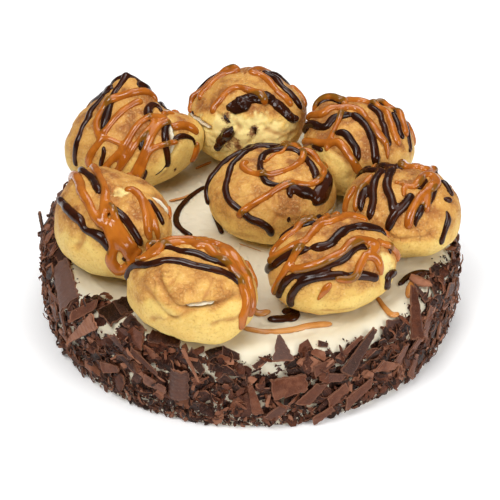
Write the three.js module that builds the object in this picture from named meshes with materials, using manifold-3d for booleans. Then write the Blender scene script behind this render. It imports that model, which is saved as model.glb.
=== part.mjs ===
// A saint-honore style cream cake, in millimetres, +Z up.
// The origin is on the cake's axis, at its flat base. +X is to the right and -Y is the front.
// A round cream cake carries eight filled choux buns, drizzled with two sauces,
// and its side is dressed with chocolate shavings.
import * as THREE from 'three';
import { mergeVertices } from 'three/addons/utils/BufferGeometryUtils.js';
import Module from 'manifold-3d';

const wasm = await Module();
wasm.setup();

// ---------------------------------------------------------------- driving dimensions
const CAKE_RADIUS = 103;
const CAKE_HEIGHT = 44.5;
const SHOULDER = 9;
const CAKE_SIDES = 54;
const SHOULDER_STEPS = 3;

const CLEARANCE = 0.3;
const BUN_SIDES = 14;
const BUN_RINGS = 10;
const STRAND_SIDES = 4;
const STRAND_STEP = 13;
const STRAND_LIFT = 0.25;
const STRANDS_PER_BUN = 5;
const BACK_STRANDS = 2;
const BACK_SEED = 7;

const FLAKE_COUNT = 104;
const FLAKE_REACH = 110;
const FLAKE_FOOT = 0.3;
const FLAKE_THICK = 1.8;
const FLAKE_LENGTH = { min: 10, max: 26 };
const FLAKE_WIDTH = { min: 7, max: 13 };
const FLAKE_SEED = 41;
const PLATE_BOW_STEPS = 6;

const COLOURS = {
  cream: 0xf3e9cf,
  crust: 0xdca55a,
  chocolate: 0x4a2c20,
};

// ---------------------------------------------------------------- the eight choux buns
// at: plan position of the centre, seat: its height over the cream.
// half: half width and half depth, rise and foot: height over and under the centre.
// turn: plan rotation, lean: how far the bun tips over, towards the compass angle leanTo.
// round: 2 is an ellipsoid, more is squarer. bumps: [azimuth, elevation, height, spread].
// slit: the torn opening with its cream; its plane tips by tilt towards tiltTo, offset
// from the centre, and it opens towards the azimuth mouth, within +- spread.
// strands: [sauce, half width, then stops as azimuth and elevation on the bun].
const BUNS = [
  {
    name: 'back_left', at: [-60, 48], half: [33, 30], rise: 25, foot: 21, seat: 20,
    turn: 15, lean: 6, leanTo: 180, round: 2.2,
    bumps: [[80, 69, 9.5, 27], [34, 33, -9, 36], [190, -10, 4, 32], [2, 6, 6, 24]],
    slit: { mouth: 340, spread: 42, offset: 4.7, tilt: 57, tiltTo: 230, gap: 3.2, bulge: 0.99 },
    strands: [
      ['chocolate', 1.8, [130, 60], [105, 68], [80, 68]],
      ['chocolate', 2.0, [135, 75], [172, 55], [198, 40], [209, 28], [211, 12], [209, 0]],
      ['chocolate', 1.5, [230, 72], [222, 60], [228, 44]],
      ['chocolate', 1.6, [239, 29], [239, 5]],
      ['chocolate', 2.6, [308, 54], [330, 63], [352, 58], [347, 48]],
      ['chocolate', 1.9, [336, 36], [321, 33], [315, 20], [310, 0]],
      ['chocolate', 1.0, [307, 1], [292, -8]],
      ['chocolate', 1.6, [288, 33], [281, 20]],
      ['chocolate', 1.6, [283, 2], [280, -12]],
      ['chocolate', 1.5, [328, 22], [342, 18], [352, 8]],
      ['caramel', 2.0, [357, 60], [25, 74], [200, 84], [205, 70], [209, 58], [222, 38]],
      ['caramel', 2.0, [350, 68], [300, 77], [250, 66], [238, 50], [230, 30], [226, 8]],
      ['caramel', 1.5, [228, 38], [248, 35], [262, 32]],
      ['caramel', 2.3, [338, 42], [315, 49], [294, 42], [270, 28], [243, 5]],
      ['caramel', 2.1, [336, 37], [312, 38], [294, 26], [284, 9], [272, -6]],
      ['caramel', 1.9, [332, 16], [314, 20], [299, 18], [287, 9]],
      ['caramel', 1.7, [279, 22], [266, 17], [256, 9], [254, -6], [256, -15]],
      ['caramel', 1.7, [340, 45], [347, 36], [353, 28]],
      ['caramel', 1.7, [330, 30], [346, 22], [353, 8]],
      ['caramel', 2.2, [335, -2], [327, -12]],
    ],
  },
  {
    name: 'back', at: [-2, 67], half: [30.5, 29], rise: 24.5, foot: 21, seat: 21,
    turn: 0, lean: 8, leanTo: 90, round: 2.2,
    bumps: [[90, 60, 2, 30], [-10, 25, 3, 25]],
    slit: { mouth: 195, spread: 28, offset: 1, tilt: 10, tiltTo: 20, gap: 3.2, bulge: 0.99 },
    strands: [
      ['chocolate', 2.0, [140, 58], [152, 42], [163, 34], [178, 18]],
      ['chocolate', 2.1, [18, 63], [353, 51], [350, 38], [346, 20]],
      ['chocolate', 2.6, [237, 30], [250, 37], [264, 40], [274, 47], [290, 44], [303, 38]],
      ['chocolate', 2.6, [303, 38], [314, 26], [326, 13]],
      ['chocolate', 1.9, [302, 57], [306, 46]],
      ['chocolate', 2.0, [250, 12], [243, 5], [236, -4], [231, -12]],
      ['chocolate', 1.4, [244, 21], [250, 17]],
      ['chocolate', 1.3, [275, 16], [282, 15], [276, 8]],
      ['caramel', 1.7, [172, 22], [176, 12]],
      ['caramel', 2.1, [148, 68], [175, 58], [184, 44], [188, 30]],
      ['caramel', 1.8, [140, 62], [100, 72], [80, 75]],
      ['caramel', 2.2, [223, 27], [216, 42], [222, 60], [255, 67], [285, 60], [299, 45]],
      ['caramel', 2.1, [100, 82], [20, 68], [345, 55], [336, 42], [331, 28]],
      ['caramel', 1.8, [10, 38], [2, 26], [352, 16]],
    ],
  },
  {
    name: 'back_right', at: [56.5, 44], half: [28.5, 29], rise: 20.5, foot: 18, seat: 18,
    turn: -30, lean: 0, leanTo: 0, round: 2.5,
    bumps: [[150, 45, 5, 25], [-120, -10, 3, 25]],
    strands: [
      ['chocolate', 2.1, [178, 18], [176, 27], [186, 42], [182, 60], [190, 76]],
      ['chocolate', 2.3, [190, 76], [290, 76], [291, 55], [286, 33], [285, 14]],
      ['chocolate', 2.1, [222, 50], [236, 49], [252, 40], [262, 29], [265, 20]],
      ['chocolate', 2.1, [62, 62], [30, 64], [345, 57], [322, 44], [305, 28]],
      ['chocolate', 1.9, [28, 50], [2, 43], [345, 37], [332, 31]],
      ['chocolate', 1.6, [32, 40], [15, 33], [354, 28], [340, 18], [333, 12]],
      ['chocolate', 1.4, [205, 20], [217, 22]],
      ['caramel', 2.1, [158, 20], [150, 32], [138, 42], [125, 48], [128, 62]],
      ['caramel', 2.1, [165, 14], [163, 30], [174, 44], [158, 54], [142, 63], [120, 62]],
      ['caramel', 2.1, [112, 50], [88, 54], [62, 52], [28, 55], [355, 46], [338, 38], [325, 28]],
      ['caramel', 2.0, [55, 48], [42, 42], [28, 38], [8, 33], [356, 24]],
      ['caramel', 2.0, [145, 72], [80, 84], [315, 76], [303, 54], [306, 38], [302, 20]],
      ['caramel', 1.5, [158, 70], [200, 62], [217, 53], [222, 40], [223, 27]],
      ['caramel', 2.1, [188, 16], [208, 27], [232, 40], [250, 31], [262, 20], [271, 10]],
    ],
  },
  {
    name: 'middle', at: [11, 2], half: [32.5, 29], rise: 20, foot: 17, seat: 17,
    turn: 10, lean: 4, leanTo: -60, round: 2.4,
    bumps: [[-80, 30, 1.5, 25]],
    slit: { mouth: 325, spread: 58, offset: -3, tilt: 6, tiltTo: 120, gap: 2.8, bulge: 0.99 },
    strands: [
      ['chocolate', 2.0, [192, -3], [182, 6], [172, 18], [160, 26], [140, 32], [117, 30]],
      ['chocolate', 2.0, [117, 30], [95, 29], [72, 32], [50, 30], [32, 24], [14, 18], [2, 17]],
      ['chocolate', 2.3, [2, 17], [348, 22], [334, 22]],
      ['chocolate', 2.2, [88, 31], [118, 38], [145, 42], [170, 38], [190, 33], [207, 26]],
      ['chocolate', 2.2, [207, 26], [222, 17], [240, 12], [256, 7], [270, -4]],
      ['chocolate', 2.1, [215, 70], [170, 76], [110, 66], [75, 52], [48, 42], [28, 38]],
      ['chocolate', 2.1, [28, 38], [8, 37], [346, 38]],
      ['chocolate', 1.9, [240, 58], [252, 53], [270, 48], [288, 52]],
      ['chocolate', 3.6, [306, 43], [318, 38], [332, 32], [346, 26]],
      ['chocolate', 3.2, [318, 27], [334, 26]],
      ['chocolate', 1.6, [301, 44], [295, 34]],
      ['chocolate', 1.0, [286, 18], [285, 11]],
      ['caramel', 2.1, [160, 52], [180, 52], [205, 55], [232, 60], [268, 66], [320, 66]],
      ['caramel', 1.9, [320, 66], [10, 56], [38, 42]],
      ['caramel', 1.9, [62, 34], [42, 28], [22, 27], [5, 28], [348, 36], [328, 46]],
      ['caramel', 1.9, [328, 46], [300, 50], [270, 43], [250, 31], [238, 17], [234, 8]],
    ],
  },
  {
    name: 'left', at: [-66.5, -29], half: [31, 27.5], rise: 25, foot: 20, seat: 19.5,
    turn: -55, lean: 10, leanTo: 80, round: 2.4,
    bumps: [[130, 40, 4, 25], [-60, -20, 3, 30]],
    slit: { mouth: 332, spread: 40, offset: 0, tilt: 80, tiltTo: 85, gap: 2.8, bulge: 1.0 },
    strands: [
      ['chocolate', 2.0, [172, 30], [200, 31], [225, 26], [240, 19], [256, 13], [264, 7]],
      ['chocolate', 2.1, [140, 38], [150, 55], [185, 68], [230, 62]],
      ['chocolate', 2.1, [268, 46], [284, 38], [292, 27], [298, 17], [300, 7]],
      ['chocolate', 1.7, [325, 45], [325, 34], [327, 18]],
      ['chocolate', 1.5, [277, 5], [281, 0], [284, -6]],
      ['caramel', 2.3, [130, 30], [155, 42], [190, 48], [220, 42], [238, 34], [256, 27]],
      ['caramel', 2.0, [135, 64], [180, 78], [248, 66], [250, 50]],
      ['caramel', 2.6, [258, 47], [257, 36], [264, 22], [270, 8], [272, -6], [277, -16]],
      ['caramel', 2.6, [277, -16], [287, -9], [296, 2]],
      ['caramel', 2.2, [262, 44], [277, 34], [290, 12], [292, 0]],
      ['caramel', 2.4, [20, 80], [340, 68], [322, 52], [313, 36], [313, 20], [315, 6]],
      ['caramel', 1.7, [0, 26], [350, 15]],
    ],
  },
  {
    name: 'front', at: [-27, -79], half: [31, 25], rise: 22, foot: 18, seat: 18.5,
    turn: -16, lean: 0, leanTo: 0, round: 2.4,
    bumps: [[-60, -25, 2.5, 30]],
    slit: { mouth: 285, spread: 55, offset: 7, tilt: 8, tiltTo: 120, gap: 2.8, bulge: 0.985 },
    strands: [
      ['chocolate', 2.1, [176, 14], [180, 24], [186, 38], [192, 56], [220, 70]],
      ['chocolate', 2.1, [220, 70], [285, 68], [305, 57], [320, 45], [331, 28]],
      ['chocolate', 2.1, [160, 38], [148, 58], [150, 78], [340, 76], [343, 60], [341, 47]],
      ['chocolate', 1.5, [350, 27], [346, 20]],
      ['caramel', 2.2, [142, 32], [120, 38], [97, 40], [78, 40]],
      ['caramel', 2.1, [168, 28], [152, 42], [128, 52], [102, 58], [80, 58], [66, 42]],
      ['caramel', 2.8, [65, 38], [40, 38], [20, 32], [5, 26], [353, 14], [343, 4], [336, -8]],
      ['caramel', 2.1, [95, 66], [60, 66], [12, 60], [351, 46], [342, 34], [336, 22]],
      ['caramel', 2.2, [338, 17], [328, 3], [322, -8], [316, -15]],
    ],
  },
  {
    name: 'front_right', at: [39, -58], half: [31.5, 25], rise: 20.5, foot: 18, seat: 17.5,
    turn: 20, lean: 0, leanTo: 0, round: 2.4,
    bumps: [[75, 30, 1.5, 30]],
    strands: [
      ['chocolate', 2.1, [186, 0], [196, 16], [212, 34], [221, 50], [243, 60], [280, 74]],
      ['chocolate', 2.1, [280, 74], [10, 74], [28, 58], [28, 42], [26, 30], [15, 23]],
      ['chocolate', 1.8, [165, 24], [160, 34], [150, 45], [125, 54]],
      ['chocolate', 2.0, [213, -10], [217, 3], [228, 15], [241, 27], [257, 34], [273, 40]],
      ['chocolate', 2.0, [273, 40], [289, 43], [306, 48], [320, 50], [327, 42]],
      ['chocolate', 2.1, [228, -15], [230, -2], [238, 11], [254, 20], [270, 26], [285, 28]],
      ['chocolate', 2.1, [285, 28], [302, 23], [320, 13]],
      ['chocolate', 2.0, [352, -2], [342, 3], [332, -3], [330, -12]],
      ['chocolate', 1.2, [5, 28], [352, 20]],
      ['caramel', 2.1, [135, 26], [152, 38], [170, 38], [176, 26], [181, 12]],
      ['caramel', 2.3, [187, 14], [192, 34], [192, 50], [178, 63], [142, 67], [92, 60]],
      ['caramel', 2.2, [92, 60], [63, 51], [46, 43], [36, 35]],
      ['caramel', 1.9, [213, 50], [220, 38], [220, 25], [214, 9], [209, -5]],
      ['caramel', 2.1, [222, 22], [236, 29], [253, 38], [272, 47], [302, 58], [345, 58]],
      ['caramel', 1.9, [345, 58], [356, 47], [357, 36], [344, 34]],
      ['caramel', 1.9, [8, 48], [0, 30], [348, 20], [350, 8]],
      ['caramel', 1.9, [331, 42], [316, 34], [300, 26], [286, 21], [270, 18], [256, 5], [251, -3]],
      ['caramel', 1.9, [333, 39], [334, 30], [336, 20], [324, 14]],
    ],
  },
  {
    name: 'right', at: [75, -12], half: [29.5, 27], rise: 21, foot: 16.5, seat: 16.5,
    turn: -10, lean: 0, leanTo: 0, round: 2.3,
    bumps: [[-60, -5, 1.5, 30]],
    strands: [
      ['chocolate', 2.7, [172, 42], [190, 38], [205, 28], [209, 20]],
      ['chocolate', 2.1, [140, 52], [170, 55], [195, 46], [213, 38], [222, 22]],
      ['chocolate', 2.1, [118, 52], [165, 72], [228, 62], [246, 48], [252, 38]],
      ['chocolate', 2.1, [290, 62], [270, 50], [258, 39], [253, 26], [250, 14]],
      ['chocolate', 2.1, [5, 58], [330, 62]],
      ['chocolate', 2.3, [293, 45], [285, 32]],
      ['chocolate', 1.3, [335, 47], [315, 38]],
      ['chocolate', 1.9, [28, 32], [10, 30], [0, 28]],
      ['chocolate', 2.6, [341, 32], [334, 30]],
      ['chocolate', 2.0, [325, 18], [312, 7], [305, -4]],
      ['caramel', 1.9, [155, 42], [170, 38], [182, 32], [198, 20]],
      ['caramel', 2.2, [2, 46], [28, 58], [352, 68], [315, 69], [280, 72], [268, 60]],
      ['caramel', 2.0, [2, 44], [336, 51], [312, 56], [293, 52], [279, 42], [273, 20]],
      ['caramel', 1.7, [322, 56], [303, 42]],
      ['caramel', 1.8, [18, 42], [55, 50]],
    ],
  },
];

// Sauce that ran down onto the cream: [half width, then stops as x and y].
const POOLED_STRANDS = [
  [2.0, [-24, 37], [-31, 28], [-37, 12], [-35, 2], [-29, -7]],
  [2.5, [15, -70], [21, -71.5], [20.5, -75], [8, -76.5]],
  [1.9, [-4, -83], [7, -86], [20, -84.5], [28, -81.5], [39, -80]],
  [1.9, [82, -42], [79.5, -47], [77, -53], [76, -60]],
  [2.0, [72, -50], [77, -43], [83, -39.5], [90, -40]],
  [1.8, [61, -66], [65, -70], [68, -73.5], [71, -72]],
];

// Large pieces of chocolate pressed against the wall.
// size: length, width and thickness. angle and z: where the middle is on the wall,
// out: its distance from the bare wall, spin: rotation in its own plane, tip: how far its
// face turns upwards, bow: the arc that its width bends through, taper: how much narrower
// its far end is.
const WALL_PIECES = [
  {
    name: 'strip_left_rim', size: [22, 3.2, 2],
    angle: 176, z: 41, out: 3.4, spin: 70, tip: 0, bow: 8, taper: 0.4,
  },
  {
    name: 'shard_left', size: [30, 9, 2],
    angle: 220, z: 31, out: 3.0, spin: 230, tip: 8, bow: 5, taper: 0.75,
  },
  {
    name: 'curl_front', size: [19, 13, 2.2],
    angle: 251.5, z: 25, out: 4.4, spin: 86, tip: 0, bow: 150, taper: 0.15,
  },
  {
    name: 'plate_front', size: [18, 13, 2.2],
    angle: 280, z: 26.5, out: 2.8, spin: 8, tip: 4, bow: 20, taper: 0.2,
  },
  {
    name: 'strip_front', size: [20, 6, 2],
    angle: 271, z: 20, out: 2.8, spin: 102, tip: 0, bow: 10, taper: 0.6,
  },
  {
    name: 'strip_right', size: [27, 8, 2.2],
    angle: 299.5, z: 37, out: 2.2, spin: 42, tip: 18, bow: 8, taper: 0.6,
  },
  {
    name: 'leaf_right', size: [27, 10, 2],
    angle: 320, z: 41, out: 0.5, spin: 62, tip: 34, bow: 14, taper: 0.6,
  },
  {
    name: 'block_right', size: [8, 6, 4],
    angle: 342, z: 31, out: 3.4, spin: 20, tip: 0, bow: 0, taper: 0.1,
  },
];

// Large pieces that lie on the cream of the rim. at: where the middle is, spin: the
// compass direction of the length, slope: how steeply the piece falls towards `face`.
const RIM_PIECES = [
  {
    name: 'plate_left', size: [28, 16, 2.2],
    at: [-90.5, -44, 41.5], spin: 96, slope: 50, face: 207, bow: 30, taper: 0.3,
  },
  {
    name: 'flake_left_rim', size: [18, 15, 1.8],
    at: [-63, -69.5, 45], spin: 35, slope: 8, face: 227, bow: 8, taper: 0.2,
  },
  {
    name: 'flake_front_rim', size: [16, 7, 1.8],
    at: [-40, -91, 44], spin: 337, slope: 26, face: 247, bow: 8, taper: 0.4,
  },
  {
    name: 'drop_front_rim', size: [9, 6, 3],
    at: [-16, -99, 42.5], spin: 20, slope: 28, face: 261, bow: 10, taper: 0.3,
  },
  {
    name: 'flake_standing', size: [15, 12, 1.8],
    at: [14.5, -98, 44.6], spin: 99, slope: 22, face: 279, bow: 6, taper: 0.88,
  },
];

// ---------------------------------------------------------------- small helpers
const radians = THREE.MathUtils.degToRad;

/** A repeatable draw between low and high. */
function seededDraw(seed) {
  let state = seed;
  return (low, high) => {
    state = (state * 16807) % 2147483647;
    return low + (high - low) * (state / 2147483647);
  };
}

/** The unit vector at a compass azimuth and an elevation, both in degrees. */
function direction(azimuth, elevation) {
  const a = radians(azimuth);
  const e = radians(elevation);
  return new THREE.Vector3(Math.cos(e) * Math.cos(a), Math.cos(e) * Math.sin(a), Math.sin(e));
}

/** The rotation that tips +Z by `angle` degrees towards the azimuth `towards`. */
function tipping(angle, towards) {
  const axis = new THREE.Vector3(-Math.sin(radians(towards)), Math.cos(radians(towards)), 0);
  return new THREE.Quaternion().setFromAxisAngle(axis, radians(angle));
}

/** Keeps only the positions and merges the shared vertices of a geometry. */
function welded(geometry) {
  geometry.deleteAttribute('normal');
  geometry.deleteAttribute('uv');
  return mergeVertices(geometry, 1e-4);
}

/** Moves every vertex of a geometry through `move`. */
function reshape(geometry, move) {
  const place = geometry.attributes.position;
  const point = new THREE.Vector3();
  for (let i = 0; i < place.count; i += 1) {
    point.fromBufferAttribute(place, i);
    move(point);
    place.setXYZ(i, point.x, point.y, point.z);
  }
  return geometry;
}

/** A closed geometry as a solid that can be joined and cut. */
function toSolid(geometry) {
  const closed = geometry.attributes.normal ? welded(geometry) : geometry;
  return new wasm.Manifold(new wasm.Mesh({
    numProp: 3,
    vertProperties: new Float32Array(closed.attributes.position.array),
    triVerts: new Uint32Array(closed.index.array),
  }));
}

/** A solid as a named mesh of the scene. */
function toMesh(solid, name, colour, roughness) {
  const data = solid.getMesh();
  const geometry = new THREE.BufferGeometry();
  geometry.setAttribute('position', new THREE.Float32BufferAttribute(data.vertProperties, 3));
  geometry.setIndex(new THREE.Uint32BufferAttribute(data.triVerts, 1));
  geometry.computeVertexNormals();
  const material = new THREE.MeshStandardMaterial({ color: colour, roughness, metalness: 0 });
  const mesh = new THREE.Mesh(geometry, material);
  mesh.name = name;
  return mesh;
}

/** A big block whose underside is at `floor`. */
function blockAbove(floor) {
  const block = new THREE.BoxGeometry(400, 400, 200);
  block.translate(0, 0, floor + 100);
  return toSolid(block);
}

/** True when two solids share any space. */
function touches(first, second) {
  return !first.intersect(second).isEmpty();
}

// ---------------------------------------------------------------- choux buns
/** The distance from a bun's centre to its crust along the unit vector `n`. */
function crustRadius(bun, n) {
  const cos = Math.cos(radians(bun.turn));
  const sin = Math.sin(radians(bun.turn));
  const across = (n.x * cos + n.y * sin) / bun.half[0];
  const deep = (-n.x * sin + n.y * cos) / bun.half[1];
  const up = n.z / (n.z > 0 ? bun.rise : bun.foot);
  const level = Math.hypot(across, deep);
  let radius = (level ** bun.round + Math.abs(up) ** bun.round) ** (-1 / bun.round);
  for (const [azimuth, elevation, height, spread] of bun.bumps) {
    const away = THREE.MathUtils.radToDeg(n.angleTo(direction(azimuth, elevation)));
    radius += height * Math.exp(-((away / spread) ** 2));
  }
  return radius;
}

/** Takes a point from a bun's own frame to the cake's. */
function settle(bun, point) {
  return point
    .applyQuaternion(tipping(bun.lean, bun.leanTo))
    .add(new THREE.Vector3(bun.at[0], bun.at[1], CAKE_HEIGHT + bun.seat));
}

/** The bare crust of a bun, scaled and then grown by `grow` all round. */
function crust(bun, grow = 0, scale = 1) {
  const ball = new THREE.SphereGeometry(1, BUN_SIDES, BUN_RINGS);
  ball.rotateX(Math.PI / 2);
  return toSolid(reshape(welded(ball), (point) => {
    point.normalize();
    point.multiplyScalar(crustRadius(bun, point) * scale + grow);
    settle(bun, point);
  }));
}

/** One strand of sauce: a tube that follows the crust, half sunk in it. */
function strand(bun, [, halfWidth, ...stops], grow = 0) {
  const onBall = new THREE.CatmullRomCurve3(stops.map(([a, e]) => direction(a, e)));
  const surface = onBall.getPoints(6 * stops.length).map((n) => {
    n.normalize();
    return settle(bun, n.multiplyScalar(crustRadius(bun, n) + STRAND_LIFT * halfWidth));
  });
  const route = new THREE.CatmullRomCurve3(surface);
  const steps = Math.max(2, Math.round(route.getLength() / STRAND_STEP));
  return tube(route, halfWidth + grow, steps);
}

/** A closed tube with a few flat sides along a curve. */
function tube(route, radius, steps) {
  const section = new THREE.Shape();
  for (let i = 0; i < STRAND_SIDES; i += 1) {
    const a = (2 * Math.PI * i) / STRAND_SIDES;
    const x = radius * Math.cos(a);
    const y = radius * Math.sin(a);
    if (i === 0) {
      section.moveTo(x, y);
    } else {
      section.lineTo(x, y);
    }
  }
  section.closePath();
  return toSolid(new THREE.ExtrudeGeometry(section, {
    steps, bevelEnabled: false, extrudePath: route,
  }));
}

/** The wedge of a bun's torn opening, `thick` high, in the cake's frame. */
function slitWedge(bun, thick, inset = 0) {
  const { mouth, spread, offset, tilt, tiltTo } = bun.slit;
  const reach = 70;
  const root = -0.3 * bun.half[0] + inset;
  const wedge = new THREE.Shape();
  wedge.moveTo(root, 0);
  wedge.lineTo(root + reach * Math.cos(radians(spread)), -reach * Math.sin(radians(spread)));
  wedge.lineTo(root + reach, 0);
  wedge.lineTo(root + reach * Math.cos(radians(spread)), reach * Math.sin(radians(spread)));
  wedge.closePath();
  const slab = new THREE.ExtrudeGeometry(wedge, { depth: thick, bevelEnabled: false });
  slab.translate(0, 0, offset - thick / 2);
  slab.rotateZ(radians(mouth));
  slab.applyQuaternion(tipping(tilt, tiltTo));
  return toSolid(reshape(welded(slab), (point) => settle(bun, point)));
}

/** Strands that run down the back of a bun, in turn chocolate and caramel. */
function backStrands(bun) {
  const draw = seededDraw(BACK_SEED + BUNS.indexOf(bun));
  draw(0, 1);
  return Array.from({ length: BACK_STRANDS }, (_, i) => {
    const azimuth = 125 - 62 * i + draw(-12, 12);
    const sway = draw(-14, 14);
    const stops = [[azimuth - sway, 66], [azimuth, 40], [azimuth + sway, draw(0, 16)]];
    return [i % 2 ? 'caramel' : 'chocolate', 2.1, ...stops];
  });
}

/** The largest of a bun's strands; the finer threads are left out of the solid. */
function thickStrands(bun, grow = 0) {
  const weight = ([, halfWidth, ...stops]) => halfWidth * stops.length;
  const largest = [...bun.strands]
    .sort((first, second) => weight(second) - weight(first))
    .slice(0, STRANDS_PER_BUN);
  return [...largest, ...backStrands(bun)].map((stops) => strand(bun, stops, grow));
}

/** A bun with its torn opening and its drizzle, standing just clear of the cream. */
function chouxBun(bun, grow = 0) {
  let solid = crust(bun, grow);
  if (bun.slit && grow === 0) {
    solid = solid.subtract(slitWedge(bun, bun.slit.gap));
  }
  for (const sauce of thickStrands(bun, grow)) {
    solid = solid.add(sauce);
  }
  return solid.intersect(blockAbove(CAKE_HEIGHT + CLEARANCE - grow));
}

/** The cream inside a bun's torn opening. */
function filling(bun) {
  const { gap, bulge } = bun.slit;
  let solid = slitWedge(bun, gap - 2 * CLEARANCE, 2 * CLEARANCE);
  solid = solid.intersect(crust(bun, 0, bulge));
  for (const sauce of thickStrands(bun, CLEARANCE)) {
    if (touches(solid, sauce)) {
      solid = solid.subtract(sauce);
    }
  }
  return solid.intersect(blockAbove(CAKE_HEIGHT + CLEARANCE));
}

/** The largest body of a solid, without any loose crumbs. */
function largestBody(solid) {
  const bodies = solid.decompose();
  bodies.sort((first, second) => second.volume() - first.volume());
  return bodies[0];
}

// ---------------------------------------------------------------- chocolate pieces
/** A thin plate that tapers and bows along its length, centred on the origin. */
function bowedPlate([length, width, thick], bow, taper, steps = PLATE_BOW_STEPS) {
  const plate = welded(new THREE.BoxGeometry(length, width, thick, steps, 1, 1));
  const bend = radians(bow);
  return reshape(plate, (point) => {
    const along = point.x / length;
    point.y *= 1 - taper * (along + 0.5);
    if (bend > 0) {
      const turnBy = bend * (point.y / width);
      const radius = width / bend;
      const rise = radius * (1 - Math.cos(turnBy));
      point.y = (radius + point.z) * Math.sin(turnBy);
      point.z = point.z * Math.cos(turnBy) - rise;
    }
  });
}

/** Stands a plate on the wall: its face outwards, turned by spin and upwards by tip. */
function onWall(geometry, { angle, z, out, spin, tip }) {
  geometry.rotateZ(radians(spin));
  geometry.rotateX(Math.PI / 2 - radians(tip));
  geometry.rotateZ(radians(angle + 90));
  const reach = CAKE_RADIUS + out;
  geometry.translate(reach * Math.cos(radians(angle)), reach * Math.sin(radians(angle)), z);
  return geometry;
}

/** Lays a plate on the rim: turned by spin, then sloping down towards the angle `face`. */
function onRim(geometry, { at, spin, slope, face }) {
  geometry.rotateZ(radians(spin));
  geometry.applyQuaternion(tipping(slope, face));
  geometry.translate(...at);
  return geometry;
}

/** A large piece of chocolate, grown by `grow` on every side. */
function chocolatePiece(piece, grow = 0) {
  const size = piece.size.map((side) => side + 2 * grow);
  const plate = bowedPlate(size, piece.bow, piece.taper);
  return toSolid(piece.at ? onRim(plate, piece) : onWall(plate, piece));
}

/** True when a flake is over the base and within the outer reach of the dressing. */
function fitsTheWall(geometry) {
  const place = geometry.attributes.position;
  const corners = Array.from({ length: place.count }, (_, i) => i);
  return corners.every((i) => place.getZ(i) > FLAKE_FOOT
    && Math.hypot(place.getX(i), place.getY(i)) < FLAKE_REACH);
}

/** Small flakes over the wall and the shoulder, largest first, clear of `neighbours`. */
function smallFlakes(neighbours) {
  const draw = seededDraw(FLAKE_SEED);
  const flakes = [];
  for (let i = 0; i < FLAKE_COUNT; i += 1) {
    const size = 1 - i / FLAKE_COUNT;
    const length = THREE.MathUtils.lerp(FLAKE_LENGTH.min, FLAKE_LENGTH.max, size) * draw(0.8, 1);
    const width = THREE.MathUtils.lerp(FLAKE_WIDTH.min, FLAKE_WIDTH.max, size) * draw(0.6, 1);
    const place = {
      angle: i * 137.508,
      z: draw(length / 2 + 1, CAKE_HEIGHT - 3),
      out: draw(0.6, 2.4),
      spin: draw(-180, 180),
      tip: draw(-22, 26),
    };
    const blade = bowedPlate([length, width, FLAKE_THICK], draw(0, 30), draw(0.2, 0.8), 1);
    const onShoulder = Math.max(0, place.z - (CAKE_HEIGHT - SHOULDER)) / SHOULDER;
    place.out -= SHOULDER * (1 - Math.sqrt(1 - onShoulder ** 2));
    place.tip += 55 * onShoulder;
    const placed = onWall(blade, place);
    if (fitsTheWall(placed)) {
      const flake = toSolid(placed);
      if (!touches(flake, neighbours)) {
        flakes.push(flake);
      }
    }
  }
  return flakes;
}

// ---------------------------------------------------------------- the cake
/** The round cream cake, solid, with a flat top and base and a rounded shoulder. */
function creamCake() {
  const profile = [new THREE.Vector2(0, 0), new THREE.Vector2(CAKE_RADIUS - 1, 0)];
  profile.push(new THREE.Vector2(CAKE_RADIUS, 4));
  for (let i = 0; i <= SHOULDER_STEPS; i += 1) {
    const a = (Math.PI / 2) * (i / SHOULDER_STEPS);
    profile.push(new THREE.Vector2(
      CAKE_RADIUS - SHOULDER + SHOULDER * Math.cos(a),
      CAKE_HEIGHT - SHOULDER + SHOULDER * Math.sin(a),
    ));
  }
  profile.push(new THREE.Vector2(0, CAKE_HEIGHT));
  const cake = new THREE.LatheGeometry(profile, CAKE_SIDES);
  cake.rotateX(Math.PI / 2);
  return toSolid(cake);
}

/** A strand of sauce lying on the cream. */
function pooledStrand([halfWidth, ...stops]) {
  const points = stops.map(([x, y]) => new THREE.Vector3(x, y, CAKE_HEIGHT + STRAND_LIFT));
  const route = new THREE.CatmullRomCurve3(points);
  const steps = Math.max(2, Math.round(route.getLength() / STRAND_STEP));
  return tube(route, halfWidth, steps);
}

// ---------------------------------------------------------------- assembly
const cake = new THREE.Group();

const grownBuns = BUNS.map((bun) => chouxBun(bun, CLEARANCE));
const buns = BUNS.map((bun, i) => {
  let solid = chouxBun(bun);
  for (const earlier of grownBuns.slice(0, i)) {
    if (touches(solid, earlier)) {
      solid = solid.subtract(earlier);
    }
  }
  return largestBody(solid);
});
BUNS.forEach((bun, i) => {
  cake.add(toMesh(buns[i], `bun_${bun.name}`, COLOURS.crust, 0.6));
});

for (const bun of BUNS.filter(({ slit }) => slit)) {
  let solid = filling(bun);
  grownBuns.forEach((neighbour, i) => {
    if (BUNS[i] !== bun && touches(solid, neighbour)) {
      solid = solid.subtract(neighbour);
    }
  });
  cake.add(toMesh(largestBody(solid), `filling_${bun.name}`, COLOURS.cream, 0.5));
}

const pieces = [...WALL_PIECES, ...RIM_PIECES];
let neighbours = grownBuns.reduce((all, bun) => all.add(bun));
let body = creamCake();
for (const piece of pieces) {
  const grown = chocolatePiece(piece, CLEARANCE);
  body = body.subtract(grown);
  neighbours = neighbours.add(grown);
  cake.add(toMesh(chocolatePiece(piece), `chocolate_${piece.name}`, COLOURS.chocolate, 0.7));
}
for (const extra of [...smallFlakes(neighbours), ...POOLED_STRANDS.map(pooledStrand)]) {
  if (!touches(extra, neighbours)) {
    body = body.add(extra);
  }
}
cake.add(toMesh(largestBody(body), 'cake_body', COLOURS.cream, 0.6));

export default cake;
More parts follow.
